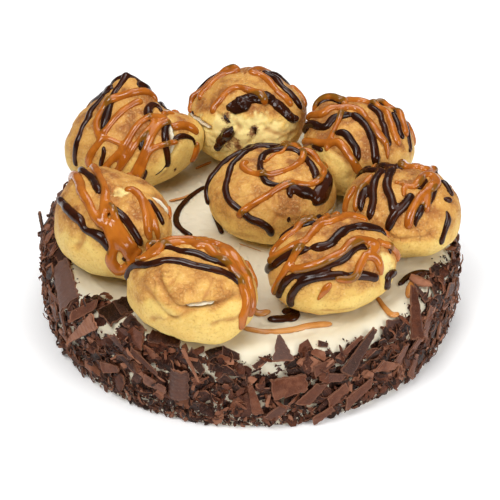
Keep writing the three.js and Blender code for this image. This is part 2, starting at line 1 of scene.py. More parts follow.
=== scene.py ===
"""A saint-honore style cream cake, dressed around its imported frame.

Sizes are in millimetres inside the classes and in metres on every mesh. The origin is on
the cake's axis, at its flat base. +X is to the right and -Y is the front.
"""
import logging
import math
from dataclasses import dataclass
from enum import Enum
from typing import Iterable, Sequence

import bpy
import numpy as np
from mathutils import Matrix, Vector
from mathutils.bvhtree import BVHTree
from mathutils.kdtree import KDTree


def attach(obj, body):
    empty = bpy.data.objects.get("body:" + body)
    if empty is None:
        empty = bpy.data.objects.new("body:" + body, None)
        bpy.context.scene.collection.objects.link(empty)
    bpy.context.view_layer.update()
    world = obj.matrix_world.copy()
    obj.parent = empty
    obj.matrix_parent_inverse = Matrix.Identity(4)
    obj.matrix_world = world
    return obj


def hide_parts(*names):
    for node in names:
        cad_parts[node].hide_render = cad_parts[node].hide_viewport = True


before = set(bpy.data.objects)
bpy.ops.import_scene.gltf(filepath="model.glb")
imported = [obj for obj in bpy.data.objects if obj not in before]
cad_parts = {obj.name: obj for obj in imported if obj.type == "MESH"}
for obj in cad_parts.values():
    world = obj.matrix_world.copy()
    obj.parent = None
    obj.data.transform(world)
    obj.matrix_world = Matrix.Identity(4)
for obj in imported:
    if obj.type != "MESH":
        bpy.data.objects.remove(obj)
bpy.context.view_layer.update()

LOG = logging.getLogger("cake")

MM = 0.001
CAKE_RADIUS = 103.0
CAKE_HEIGHT = 44.5
SHOULDER = 9.0  # the radius of the rounded rim
OUTER_REACH = 109.8  # no dressing lies further from the axis
BUN_FLOOR = CAKE_HEIGHT + 0.12
NEIGHBOUR_GAP = 0.3
LOWEST = 0.3  # no chocolate lies lower
FAR = 1e3

Array = np.ndarray
Material = bpy.types.Material
Node = bpy.types.Node
Piece = bpy.types.Object
Socket = bpy.types.NodeSocket


class Sauce(Enum):
    """The two sauces that are piped over the buns."""

    CHOCOLATE = "chocolate"
    CARAMEL = "caramel"


# ------------------------------------------------------------------ numbers and directions
class LoopDraw:
    """A short repeatable series of numbers."""

    def __init__(self, seed: int) -> None:
        """Starts the series.

        Args:
            seed: a whole number above nought.
        """
        self.state = seed

    def between(self, low: float, high: float) -> float:
        """Returns the next number between low and high."""
        self.state = self.state * 16807 % 2147483647
        return low + (high - low) * (self.state / 2147483647)


class Relief:
    """Smooth repeatable noise through space."""

    def __init__(self, seed: int) -> None:
        """Lays out the lattice of slopes.

        Args:
            seed: picks the pattern.
        """
        rng = np.random.default_rng(seed)
        self.order = np.concatenate([rng.permutation(256)] * 2)
        slopes = rng.normal(size=(256, 3))
        self.slopes = slopes / np.linalg.norm(slopes, axis=1, keepdims=True)

    def at(self, points: Array, scale: float) -> Array:
        """Reads the noise.

        Args:
            points: places, one a row.
            scale: the size of one swell.

        Returns:
            A value for each place, mostly between -1 and 1.
        """
        place = points / scale
        cell = np.floor(place).astype(int)
        inner = place - cell
        ease = inner ** 3 * (inner * (inner * 6 - 15) + 10)
        cell &= 255
        total = np.zeros(len(points))
        for corner in np.ndindex(2, 2, 2):
            x, y, z = (cell + corner).T
            pick = self.order[(self.order[(self.order[x & 255] + y) & 255] + z) & 255]
            slope = ((inner - corner) * self.slopes[pick]).sum(axis=1)
            share = np.where(np.array(corner, bool), ease, 1 - ease).prod(axis=1)
            total += slope * share
        return total * 1.7

    def waves(self, points: Array, *waves: tuple[float, float]) -> Array:
        """Returns the sum of noises, each with its height and the size of its swells."""
        return sum(height * self.at(points, size) for height, size in waves)

    def drift(self, points: Array, size: float, apart: float) -> Array:
        """Returns three noises a row, read a distance apart, to shift places by."""
        return np.stack([self.at(points + apart * i, size) for i in (1, 2, 3)], axis=1)


def unit(azimuth: Array | float, elevation: Array | float) -> Array:
    """Returns unit vectors for compass azimuths and elevations in degrees."""
    a, e = np.broadcast_arrays(np.radians(azimuth), np.radians(elevation))
    return np.stack([np.cos(e) * np.cos(a), np.cos(e) * np.sin(a), np.sin(e)], axis=-1)


def azimuth_of(points: Array) -> Array:
    """Returns the azimuths of points round the axis, from 0 to 360 degrees."""
    return np.degrees(np.arctan2(points[:, 1], points[:, 0])) % 360


def normed(vectors: Array) -> Array:
    """Returns vectors at length one."""
    return vectors / np.linalg.norm(vectors, axis=1, keepdims=True).clip(1e-9)


def about(axis: Sequence[float], angle: float) -> Array:
    """Returns the matrix that turns by an angle in degrees about a unit axis."""
    x, y, z = axis
    cross = np.array([[0, -z, y], [z, 0, -x], [-y, x, 0]])
    turn = math.radians(angle)
    return np.eye(3) + math.sin(turn) * cross + (1 - math.cos(turn)) * cross @ cross


def tipping(angle: float, towards: float) -> Array:
    """Returns the matrix that tips +Z by an angle towards an azimuth, both in degrees."""
    way = math.radians(towards)
    return about((-math.sin(way), math.cos(way), 0), angle)


def perch(angle: Array | float, run: Array | float) -> tuple[Array, Array, Array]:
    """Finds places on the cake's outside.

    Args:
        angle: azimuths in degrees.
        run: the way up the wall from the base, then over the shoulder and inwards.

    Returns:
        The places, the directions outwards and the directions up the profile.
    """
    angle, run = np.broadcast_arrays(np.asarray(angle, float), np.asarray(run, float))
    wall = CAKE_HEIGHT - SHOULDER
    turn = np.clip((run - wall) / SHOULDER, 0, math.pi / 2)[..., None]
    inward = np.maximum(run - wall - SHOULDER * math.pi / 2, 0)[..., None]
    ring, top = unit(angle, 0.0), np.array([0, 0, 1.0])
    out, up = ring * np.cos(turn) + top * np.sin(turn), top * np.cos(turn) - ring * np.sin(turn)
    core = ring * (CAKE_RADIUS - SHOULDER - inward) + top * np.minimum(run, wall)[..., None]
    return core + SHOULDER * out, out, up


def run_of(points: Array) -> Array:
    """Returns the way up the cake's profile to points on its outside."""
    out = np.hypot(points[:, 0], points[:, 1]) - CAKE_RADIUS + SHOULDER
    wall = CAKE_HEIGHT - SHOULDER
    over = np.arctan2(points[:, 2] - wall, np.maximum(out, 1e-6)) * SHOULDER
    return np.where(points[:, 2] < wall, points[:, 2], wall + over + np.maximum(-out, 0))


def smooth(low: float, high: float, value: Array) -> Array:
    """Returns a soft step from 0 at low to 1 at high."""
    share = np.clip((value - low) / (high - low), 0, 1)
    return share * share * (3 - 2 * share)


def flowing(stops: Array, per_span: int) -> Array:
    """Runs a centripetal curve through stops.

    Args:
        stops: points, one a row.
        per_span: how many points to take between two stops.

    Returns:
        The points of the curve.
    """
    ends = [2 * stops[0] - stops[1], *stops, 2 * stops[-1] - stops[-2]]
    t = np.arange(per_span)[:, None] / per_span
    curve = []
    for a, b, c, d in zip(ends, ends[1:], ends[2:], ends[3:]):
        before, along, after = (max(1e-4, np.linalg.norm(q - p)) ** 0.5
                                for p, q in ((a, b), (b, c), (c, d)))
        out = (b - a) / before - (c - a) / (before + along) + (c - b) / along
        into = (c - b) / along - (d - b) / (along + after) + (d - c) / after
        out, into = out * along, into * along
        cubic = 2 * b - 2 * c + out + into
        curve.append(b + t * (out + t * (3 * (c - b) - 2 * out - into + t * cubic)))
    return np.concatenate([*curve, stops[-1:]])


def run_along(points: Array) -> Array:
    """Returns how far along a chain of points each of them lies."""
    gaps = np.linalg.norm(np.diff(points[:, :3], axis=0), axis=1)
    return np.concatenate([[0], np.cumsum(gaps)])


def evenly(points: Array, step: float) -> Array:
    """Returns points at an even step along a chain of points, with their further columns."""
    run = run_along(points)
    count = max(4, int(round(run[-1] / step)) + 1)
    marks = np.linspace(0, run[-1], count)
    return np.stack([np.interp(marks, run, column) for column in points.T], axis=1)


# ------------------------------------------------------------------ meshes
def spawn(name: str, points: Array, faces: Iterable, finish: Material,
          marks: dict[str, Array] | None = None, rounded: bool = True) -> Piece:
    """Makes a mesh object.

    Args:
        name: the piece's name.
        points: its corners in millimetres.
        faces: lists of corner numbers, anticlockwise seen from outside.
        finish: its material.
        marks: numbers for each corner, by name, which the material reads.
        rounded: whether it is shaded smoothly.

    Returns:
        The object, in the scene.
    """
    mesh = bpy.data.meshes.new(name)
    mesh.from_pydata((points * MM).tolist(), [], [list(face) for face in faces])
    mesh.materials.append(finish)
    piece = bpy.data.objects.new(name, mesh)
    bpy.context.scene.collection.objects.link(piece)
    if marks:
        mark(piece, marks)
    mesh.shade_smooth() if rounded else mesh.shade_flat()
    return piece


def mark(piece: Piece, marks: dict[str, Array], where: str = "POINT") -> None:
    """Stores numbers on a piece.

    Args:
        piece: a mesh object.
        marks: one row of numbers by name.
        where: POINT for a number on every corner, FACE for one on every face.
    """
    for name, values in marks.items():
        store = piece.data.attributes.new(name, "FLOAT", where)
        store.data.foreach_set("value", np.asarray(values, np.float32))


def map_cut(piece: Piece, spots: Array) -> None:
    """Gives a piece its flat map, named cut, from the flat place of each corner."""
    loops = np.empty(len(piece.data.loops), np.int32)
    piece.data.loops.foreach_get("vertex_index", loops)
    flat = piece.data.uv_layers.new(name="cut")
    flat.data.foreach_set("uv", spots[loops].ravel().astype(np.float32))


def search_tree(spots: Array) -> KDTree:
    """Returns a tree that finds the nearest of some places."""
    tree = KDTree(len(spots))
    for number, spot in enumerate(spots):
        tree.insert(spot, number)
    tree.balance()
    return tree


def corners(mesh: bpy.types.Mesh) -> Array:
    """Returns a mesh's corners in millimetres."""
    flat = np.empty(len(mesh.vertices) * 3)
    mesh.vertices.foreach_get("co", flat)
    return flat.reshape(-1, 3) / MM


def set_corners(mesh: bpy.types.Mesh, points: Array) -> None:
    """Moves a mesh's corners to places in millimetres."""
    mesh.vertices.foreach_set("co", (points * MM).ravel())
    mesh.update()


def baked(piece: Piece) -> Piece:
    """Turns the result of a piece's modifiers into its plain mesh.

    Args:
        piece: an object with live modifiers.

    Returns:
        The same object, with no modifier left.
    """
    bpy.context.view_layer.update()
    ready = piece.evaluated_get(bpy.context.evaluated_depsgraph_get())
    result = bpy.data.meshes.new_from_object(ready)
    piece.modifiers.clear()
    piece.data = result
    return piece


def grid_faces(rows: int, columns: int, closed: bool) -> list[tuple[int, ...]]:
    """Lists the four-sided faces of a grid of corners.

    Args:
        rows: rows of corners.
        columns: corners in a row.
        closed: whether each row runs round into its own start.

    Returns:
        The faces, by corner number, row by row.
    """
    faces = []
    for r in range(rows - 1):
        for c in range(columns if closed else columns - 1):
            d = (c + 1) % columns
            faces.append((r * columns + c, r * columns + d,
                          (r + 1) * columns + d, (r + 1) * columns + c))
    return faces


def ball_faces(rings: int, sides: int) -> list[tuple[int, ...]]:
    """Lists the faces of a ball: first pole, rings from it to the last pole.

    Args:
        rings: rings of corners between the poles.
        sides: corners in a ring.

    Returns:
        The faces, for rings that run anticlockwise seen from the first pole.
    """
    faces = [tuple(1 + i for i in face[::-1]) for face in grid_faces(rings, sides, True)]
    last = rings * sides + 1
    for c in range(sides):
        d = (c + 1) % sides
        faces.append((0, 1 + c, 1 + d))
        faces.append((last, last - sides + d, last - sides + c))
    return faces


def dress(piece: Piece, slot: str, *nodes: str) -> Piece:
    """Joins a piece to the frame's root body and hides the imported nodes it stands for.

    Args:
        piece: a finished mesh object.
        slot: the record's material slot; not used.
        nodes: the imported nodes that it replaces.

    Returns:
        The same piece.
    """
    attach(piece, "root")
    if nodes:
        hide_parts(*nodes)
    LOG.info("%s: %d faces", piece.name, len(piece.data.polygons))
    return piece


# ------------------------------------------------------------------ finishes
def tint(red: int, green: int, blue: int) -> tuple[float, float, float, float]:
    """Turns a screen colour, 0 to 255, into the linear one that shaders use."""
    parts = [c / 255 for c in (red, green, blue)]
    linear = [c / 12.92 if c <= 0.04045 else ((c + 0.055) / 1.055) ** 2.4 for c in parts]
    return (*linear, 1.0)


class Weave:
    """A short way to lay nodes in a tree."""

    def __init__(self, tree: bpy.types.NodeTree) -> None:
        """Keeps the tree.

        Args:
            tree: a shader or geometry node tree.
        """
        self.tree = tree

    def add(self, kind: str, settings: dict | None = None, **sockets: object) -> Node:
        """Adds a node.

        Args:
            kind: the node's type.
            settings: its own properties.
            sockets: values or linked sockets by input name, with _ for a space.

        Returns:
            The node.
        """
        node = self.tree.nodes.new(kind)
        for key, value in (settings or {}).items():
            setattr(node, key, value)
        for key, value in sockets.items():
            name = key.replace("_", " ")
            fits = [s for s in node.inputs if s.name == name and s.enabled]
            self.feed(fits[0] if fits else node.inputs[name], value)
        return node

    def feed(self, socket: Socket, value: object) -> None:
        """Links a socket to another or to a node's first output, or gives it its own value."""
        if isinstance(value, Node):
            value = next(output for output in value.outputs if output.enabled)
        if isinstance(value, Socket):
            self.tree.links.new(value, socket)
        else:
            socket.default_value = value

    def ramp(self, factor: Socket, stops: Sequence[tuple[float, tuple[float, ...]]]) -> Socket:
        """Adds a colour ramp.

        Args:
            factor: what runs along it.
            stops: position and colour, from low to high.

        Returns:
            Its colour.
        """
        node = self.add("ShaderNodeValToRGB", Fac=factor)
        points = node.color_ramp.elements
        while len(points) < len(stops):
            points.new(0.5)
        for point, (position, colour) in zip(points, stops):
            point.position, point.color = position, colour
        return node.outputs["Color"]

    def blend(self, factor: object, first: object, second: object, how: str = "MIX") -> Socket:
        """Mixes two colours.

        Args:
            factor: how much of the second.
            first: the colour below.
            second: the colour above.
            how: the blend type.

        Returns:
            The mixed colour.
        """
        node = self.add("ShaderNodeMix", {"data_type": "RGBA", "blend_type": how})
        for index, value in ((0, factor), (6, first), (7, second)):
            self.feed(node.inputs[index], value)
        return node.outputs[2]

    def sum(self, how: str, first: object, second: object) -> Socket:
        """Works out one number from two.

        Args:
            how: the Math node's operation.
            first: a number or socket.
            second: a number or socket.

        Returns:
            The result.
        """
        node = self.add("ShaderNodeMath", {"operation": how, "use_clamp": how == "SUBTRACT"})
        self.feed(node.inputs[0], first)
        self.feed(node.inputs[1], second)
        return node.outputs[0]

    def spread(self, value: Socket, low: float, high: float,
               to_low: float = 0.0, to_high: float = 1.0) -> Socket:
        """Maps a range of numbers softly to another."""
        node = self.add("ShaderNodeMapRange", {"interpolation_type": "SMOOTHSTEP"}, Value=value)
        for name, number in (("From Min", low), ("From Max", high),
                             ("To Min", to_low), ("To Max", to_high)):
            node.inputs[name].default_value = number
        return node.outputs["Result"]

    def read(self, name: str) -> Socket:
        """Reads the number that a piece stores under a name."""
        return self.add("ShaderNodeAttribute", {"attribute_name": name}).outputs["Fac"]


SPECKLE = "Speckle"


def make_speckle() -> None:
    """Builds the shared group that gives a fine baked or creamy surface.

    From noise at two scales it puts out a broad mask, a fine mask and a height.
    """
    tree = bpy.data.node_groups.new(SPECKLE, "ShaderNodeTree")
    for name, value in (("Broad Scale", 120.0), ("Fine Scale", 900.0), ("Grit", 0.5)):
        socket = tree.interface.new_socket(name, in_out="INPUT", socket_type="NodeSocketFloat")
        socket.default_value = value
    for name in ("Broad", "Fine", "Height"):
        tree.interface.new_socket(name, in_out="OUTPUT", socket_type="NodeSocketFloat")
    weave = Weave(tree)
    given = tree.nodes.new("NodeGroupInput").outputs
    place = weave.add("ShaderNodeTexCoord").outputs["Object"]
    broad = weave.add("ShaderNodeTexNoise", Vector=place, Scale=given["Broad Scale"], Detail=3.0)
    fine = weave.add("ShaderNodeTexNoise", Vector=place, Scale=given["Fine Scale"], Detail=3.0,
                     Roughness=0.6)
    grit = weave.sum("MULTIPLY", fine.outputs["Fac"], given["Grit"])
    height = weave.sum("ADD", grit, broad.outputs["Fac"])
    result = tree.nodes.new("NodeGroupOutput").inputs
    for name, socket in (("Broad", broad.outputs["Fac"]), ("Fine", fine.outputs["Fac"]),
                         ("Height", height)):
        tree.links.new(socket, result[name])


@dataclass(frozen=True)
class Finish:
    """What every finish of the cake has: its name and the gloss of its shader.

    Its roughness falls and rises by uneven over the surface, and relief holds how much of its
    relief shows and how deep that is in metres.
    """

    name: str
    rough: float
    sheen: float = 0.5
    coat: float = 0.0
    glow: float = 0.0
    glow_reach: float = 0.002
    glow_tint: tuple[float, float, float] = (1.0, 0.5, 0.25)
    uneven: tuple[float, float] = (0.06, 0.06)
    relief: tuple[float, float] = (0.35, 0.0006)

    COAT_ROUGHNESS = 0.08

    def shader(self) -> tuple[Material, Weave, Node]:
        """Starts the material.

        Returns:
            The material, its weave and its Principled shader.
        """
        material = bpy.data.materials.new(self.name)
        material.use_nodes = True
        tree = material.node_tree
        tree.nodes.clear()
        weave = Weave(tree)
        shader = weave.add("ShaderNodeBsdfPrincipled", Roughness=self.rough,
                           Specular_IOR_Level=self.sheen,
                           Coat_Weight=self.coat, Coat_Roughness=self.COAT_ROUGHNESS,
                           Subsurface_Weight=self.glow, Subsurface_Radius=self.glow_tint,
                           Subsurface_Scale=self.glow_reach)
        weave.add("ShaderNodeOutputMaterial", Surface=shader)
        return material, weave, shader

    def look(self, weave: Weave) -> tuple[Socket, ...]:
        """Lays the nodes of the finish: its colour, what its gloss follows and its relief."""
        raise NotImplementedError

    def material(self) -> Material:
        """Builds the finish's material."""
        material, weave, shader = self.shader()
        colour, gloss, height = self.look(weave)
        weave.feed(shader.inputs["Base Color"], colour)
        less, more = self.uneven
        rough = weave.spread(gloss, 0.3, 0.7, self.rough - less, self.rough + more)
        weave.feed(shader.inputs["Roughness"], rough)
        strength, depth = self.relief
        bump = weave.add("ShaderNodeBump", Strength=strength, Distance=depth, Height=height)
        weave.feed(shader.inputs["Normal"], bump)
        return material

    @staticmethod
    def speckle(weave: Weave, broad: float, fine: float, grit: float) -> Node:
        """Places the shared speckle group.

        Args:
            weave: the material's weave.
            broad: the scale of the broad noise.
            fine: the scale of the fine noise.
            grit: how much the fine noise raises.

        Returns:
            The group's node.
        """
        group = weave.add("ShaderNodeGroup", {"node_tree": bpy.data.node_groups[SPECKLE]})
        for name, value in (("Broad Scale", broad), ("Fine Scale", fine), ("Grit", grit)):
            group.inputs[name].default_value = value
        return group


@dataclass(frozen=True)
class CrustFinish(Finish):
    """Baked choux: pale yellow below, golden above, with fine wrinkles where it is brown."""

    uneven: tuple[float, float] = (0.08, 0.1)
    relief: tuple[float, float] = (0.75, 0.0008)

    BAKES = ((0.0, (232, 198, 112)), (0.3, (225, 183, 96)), (0.56, (214, 163, 84)),
             (0.82, (196, 138, 66)), (1.0, (160, 100, 46)))
    # The pale speck colour is partly the crust's own speckle and partly painted glints of light.
    FRECKLE, BLISTER, WRINKLE = (160, 94, 48), (240, 212, 156), (158, 96, 50)
    # The crack colour is a darker brown for cracks and crease grooves, partly their own colour and
    # partly painted shade.
    CRUMB, CRACK, STAIN = (240, 215, 140), (176, 112, 54), (116, 54, 26)

    def look(self, weave: Weave) -> tuple[Socket, ...]:
        """Lays the crust's nodes; its relief is the grain, cut by the wrinkles."""
        grain = self.speckle(weave, 110.0, 900.0, 0.45)
        drift = weave.spread(grain.outputs["Broad"], 0.3, 0.7, -0.2, 0.2)
        toast = weave.sum("ADD", weave.read("toast"), drift)
        tone = weave.ramp(toast, [(share, tint(*colour)) for share, colour in self.BAKES])
        freckle = weave.spread(grain.outputs["Fine"], 0.52, 0.75, 0.0, 0.36)
        tone = weave.blend(freckle, tone, tint(*self.FRECKLE))
        # Pale specks on the grain: partly the crust's own speckle and partly painted glints of
        # light.
        pale = weave.spread(grain.outputs["Fine"], 0.48, 0.26, 0.0, 0.36)
        tone = weave.blend(pale, tone, tint(*self.BLISTER))
        wrinkle = self.wrinkles(weave, grain)
        wrinkle = weave.sum("MULTIPLY", wrinkle, weave.spread(toast, 0.25, 0.6, 0.12, 1.0))
        tone = weave.blend(weave.sum("MULTIPLY", wrinkle, 0.3), tone, tint(*self.WRINKLE))
        tone = weave.blend(weave.read("torn"), tone, tint(*self.CRUMB))
        # Painted shade: the cracks and crease grooves take a darker brown, partly their own colour
        # and partly the shade that falls in them.
        tone = weave.blend(weave.read("crack"), tone, tint(*self.CRACK))
        stain = weave.spread(weave.sum("ADD", weave.read("stain"),
                             weave.spread(grain.outputs["Fine"], 0.3, 0.7, -0.35, 0.35)), 0.2,
                             1.0, 0.0, 0.85)
        tone = weave.blend(stain, tone, tint(*self.STAIN))
        height = weave.sum("ADD", grain.outputs["Height"], weave.sum("MULTIPLY", wrinkle, -0.4))
        return tone, grain.outputs["Fine"], height

    @staticmethod
    def wrinkles(weave: Weave, grain: Node) -> Socket:
        """Draws the fine wrinkles of the dried crust, in patches.

        Args:
            weave: the material's weave.
            grain: its speckle group.

        Returns:
            1 along a wrinkle and 0 between them.
        """
        place = weave.add("ShaderNodeTexCoord").outputs["Object"]
        swirl = weave.add("ShaderNodeTexNoise", Vector=place, Scale=190.0, Detail=3.0)
        bent = weave.add("ShaderNodeVectorMath", {"operation": "SCALE"},
                         Vector=swirl.outputs["Color"], Scale=0.007)
        bent = weave.add("ShaderNodeVectorMath", {"operation": "ADD"}, Vector=bent.outputs[0])
        weave.feed(bent.inputs[1], place)
        cells = weave.add("ShaderNodeTexVoronoi", {"feature": "DISTANCE_TO_EDGE"},
                          Vector=bent.outputs[0], Scale=330.0).outputs["Distance"]
        patch = weave.spread(grain.outputs["Broad"], 0.42, 0.6)
        return weave.sum("MULTIPLY", weave.spread(cells, 0.08, 0.0), patch)


@dataclass(frozen=True)
class SauceFinish(Finish):
    """A glossy piped sauce, with the tone it takes over the other sauce."""

    tone: tuple[int, int, int] = (0, 0, 0)
    deep: tuple[int, int, int] = (0, 0, 0)
    over: tuple[int, int, int] = (0, 0, 0)
    uneven: tuple[float, float] = (0.05, 0.06)
    relief: tuple[float, float] = (0.12, 0.0006)

    def look(self, weave: Weave) -> tuple[Socket, ...]:
        """Lays the sauce's nodes; its gloss follows the broad speckle."""
        grain = self.speckle(weave, 140.0, 1500.0, 0.1)
        mix = weave.spread(grain.outputs["Broad"], 0.35, 0.65)
        colour = weave.blend(mix, tint(*self.tone), tint(*self.deep))
        colour = weave.blend(weave.read("over"), colour, tint(*self.over))
        return colour, grain.outputs["Broad"], grain.outputs["Height"]


@dataclass(frozen=True)
class CreamFinish(Finish):
    """Whipped cream, warm white, with chocolate dust where it is pressed on."""

    LIGHT, WARM = (228, 220, 197), (220, 209, 182)
    DARK_DUST, LIGHT_DUST = (36, 12, 4), (80, 40, 24)

    def look(self, weave: Weave) -> tuple[Socket, ...]:
        """Lays the cream's nodes; the dust is broken up by the fine speckle."""
        grain = self.speckle(weave, 60.0, 480.0, 0.3)
        tone = weave.blend(weave.spread(grain.outputs["Broad"], 0.3, 0.7),
                           tint(*self.LIGHT), tint(*self.WARM))
        dust = weave.sum("ADD", weave.read("dusted"),
                         weave.spread(grain.outputs["Fine"], 0.35, 0.65, -0.38, 0.38))
        brown = weave.blend(weave.spread(grain.outputs["Fine"], 0.3, 0.7),
                            tint(*self.DARK_DUST), tint(*self.LIGHT_DUST))
        tone = weave.blend(weave.spread(dust, 0.48, 0.56), tone, brown)
        return tone, grain.outputs["Fine"], grain.outputs["Height"]


@dataclass(frozen=True)
class ShavingFinish(Finish):
    """Shaved chocolate: satin brown, with a painted highlight on its cut edges."""

    deep: tuple[int, int, int] = (26, 7, 1)
    dark: tuple[int, int, int] = (50, 18, 6)
    faded: tuple[int, int, int] = (112, 88, 80)
    middle: tuple[int, int, int] = (97, 51, 30)
    light: tuple[int, int, int] = (154, 103, 77)
    # edge is the pale colour of the knife scores, and the painted highlight on the cut edges.
    edge: tuple[int, int, int] = (162, 112, 86)
    dust: tuple[int, int, int] = (168, 128, 106)
    uneven: tuple[float, float] = (0.08, 0.1)
    relief: tuple[float, float] = (0.35, 0.0004)

    def look(self, weave: Weave) -> tuple[Socket, ...]:
        """Lays the shavings' nodes; the knife scores them along their cut."""
        grain = self.speckle(weave, 260.0, 1300.0, 0.5)
        along = weave.add("ShaderNodeUVMap", {"uv_map": "cut"}).outputs["UV"]
        stretch = weave.add("ShaderNodeMapping", Vector=along, Scale=(1.2, 9.0, 1.0))
        scored = weave.add("ShaderNodeTexNoise", Vector=stretch, Scale=6.0,
                           Detail=3.0).outputs["Fac"]
        drift = weave.spread(grain.outputs["Broad"], 0.3, 0.7, -0.1, 0.1)
        shade = weave.sum("ADD", weave.read("shade"), drift)
        tone = weave.ramp(shade, ((0.0, tint(*self.deep)), (0.22, tint(*self.dark)),
                                  (0.6, tint(*self.middle)), (1.0, tint(*self.light))))
        tone = weave.blend(weave.read("bloom"), tone, tint(*self.faded))
        tone = weave.blend(weave.spread(scored, 0.5, 0.75, 0.0, 0.35), tone, tint(*self.edge))
        # Painted highlight: the cut edges are mixed towards the pale edge colour.
        tone = weave.blend(weave.sum("MULTIPLY", weave.read("edge"), 0.55), tone, tint(*self.edge))
        dust = weave.spread(grain.outputs["Fine"], 0.64, 0.74, 0.0, 0.5)
        tone = weave.blend(dust, tone, tint(*self.dust))
        height = weave.sum("ADD", scored, weave.sum("MULTIPLY", grain.outputs["Fine"], 0.4))
        return tone, scored, height


@dataclass(frozen=True)
class FloorFinish(Finish):
    """The plain pale ground."""

    TONE = (252, 252, 252)
    WHITE = (1.0, 1.0, 1.0, 1.0)
    SHINE = 0.12

    def material(self) -> Material:
        """Builds the floor's material."""
        material, _, shader = self.shader()
        shader.inputs["Base Color"].default_value = tint(*self.TONE)
        shader.inputs["Emission Color"].default_value = self.WHITE
        shader.inputs["Emission Strength"].default_value = self.SHINE
        return material


@dataclass
class Larder:
    """Every finish, made once."""

    crust: Material
    chocolate: Material
    caramel: Material
    thin_caramel: Material
    cream: Material
    shaving: Material
    floor: Material

    @classmethod
    def stocked(cls) -> "Larder":
        """Makes the finishes."""
        make_speckle()
        return cls(
            crust=CrustFinish("Baked choux", 0.55, sheen=0.25, glow=0.08,
                              glow_reach=0.001).material(),
            chocolate=SauceFinish("Chocolate sauce", 0.15, sheen=0.22, coat=0.1, tone=(56, 22, 5),
                                  deep=(38, 13, 3), over=(56, 22, 5)).material(),
            caramel=SauceFinish("Caramel sauce", 0.11, sheen=0.3, coat=0.3, glow=0.06,
                                glow_tint=(1.0, 0.6, 0.35), tone=(182, 104, 29),
                                deep=(160, 85, 16), over=(124, 78, 14)).material(),
            thin_caramel=SauceFinish("Thin caramel", 0.16, sheen=0.3, coat=0.25, glow=0.1,
                                     glow_tint=(1.0, 0.7, 0.5), tone=(206, 146, 82),
                                     deep=(190, 124, 58), over=(190, 124, 58)).material(),
            cream=CreamFinish("Whipped cream", 0.5, glow=0.3, glow_reach=0.002,
                              glow_tint=(1.0, 0.85, 0.7)).material(),
            shaving=ShavingFinish("Shaved chocolate", 0.42, sheen=0.16).material(),
            floor=FloorFinish("Pale ground", 0.9).material(),
        )


# ------------------------------------------------------------------ the choux buns
@dataclass(frozen=True)
class Slit:
    """The torn opening of a bun; its plane tips by tilt towards tilt_to.

    Cream shows between the two angles of shows, counted from the mouth; beyond them the
    opening closes to a crease.
    """

    mouth: float
    spread: float
    offset: float
    tilt: float
    tilt_to: float
    gap: float
    bulge: float
    shows: tuple[float, float] = (-90.0, 90.0)

    def openness(self, angles: Array) -> Array:
        """Returns 1 where cream shows at signed angles from the mouth, and 0 elsewhere."""
        low, high = self.shows
        return smooth(low - 5, low + 3, angles) * smooth(high + 5, high - 3, angles)

    def plane(self) -> Array:
        """Returns the matrix from the opening's own plane to the bun."""
        return tipping(self.tilt, self.tilt_to) @ about((0, 0, 1), self.mouth)


@dataclass(frozen=True)
class Crease:
    """A crack along the crust, whose upper side stands proud by its lip.

    Its stops are azimuths and elevations.
    """

    depth: float
    width: float
    lip: float
    stops: tuple[tuple[float, float], ...]


@dataclass(frozen=True)
class Patch:
    """An oval of the crust, at an azimuth and elevation, with its half spans."""

    azimuth: float
    elevation: float
    wide: float
    high: float

    def cover(self, azimuths: Array, elevations: Array) -> Array:
        """Returns 1 at the middle of the patch and 0 or less outside it."""
        away = (azimuths - self.azimuth + 180) % 360 - 180
        return 1 - (away / self.wide) ** 2 - ((elevations - self.elevation) / self.high) ** 2


@dataclass(frozen=True)
class Strand:
    """A strand of sauce: its half width and its stops, as azimuth and elevation.

    A stop may name the half width there.
    """

    sauce: Sauce
    half_width: float
    stops: tuple[tuple[float, ...], ...]
    ragged: bool = False


def piped(sauce: Sauce, rows: str, ragged: bool = False) -> tuple[Strand, ...]:
    """Reads the strands of one sauce.

    Args:
        sauce: what they are of.
        rows: for each strand its half width with a colon, then its stops; a stop is an
            azimuth, an elevation and, where it has its own, a half width.
        ragged: whether they are smeared.

    Returns:
        The strands, in order.
    """
    strands: list[tuple[float, list]] = []
    for word in rows.split():
        if word.endswith(":"):
            strands.append((float(word[:-1]), []))
        else:
            strands[-1][1].append(tuple(map(float, word.split(","))))
    return tuple(Strand(sauce, half, tuple(stops), ragged) for half, stops in strands)


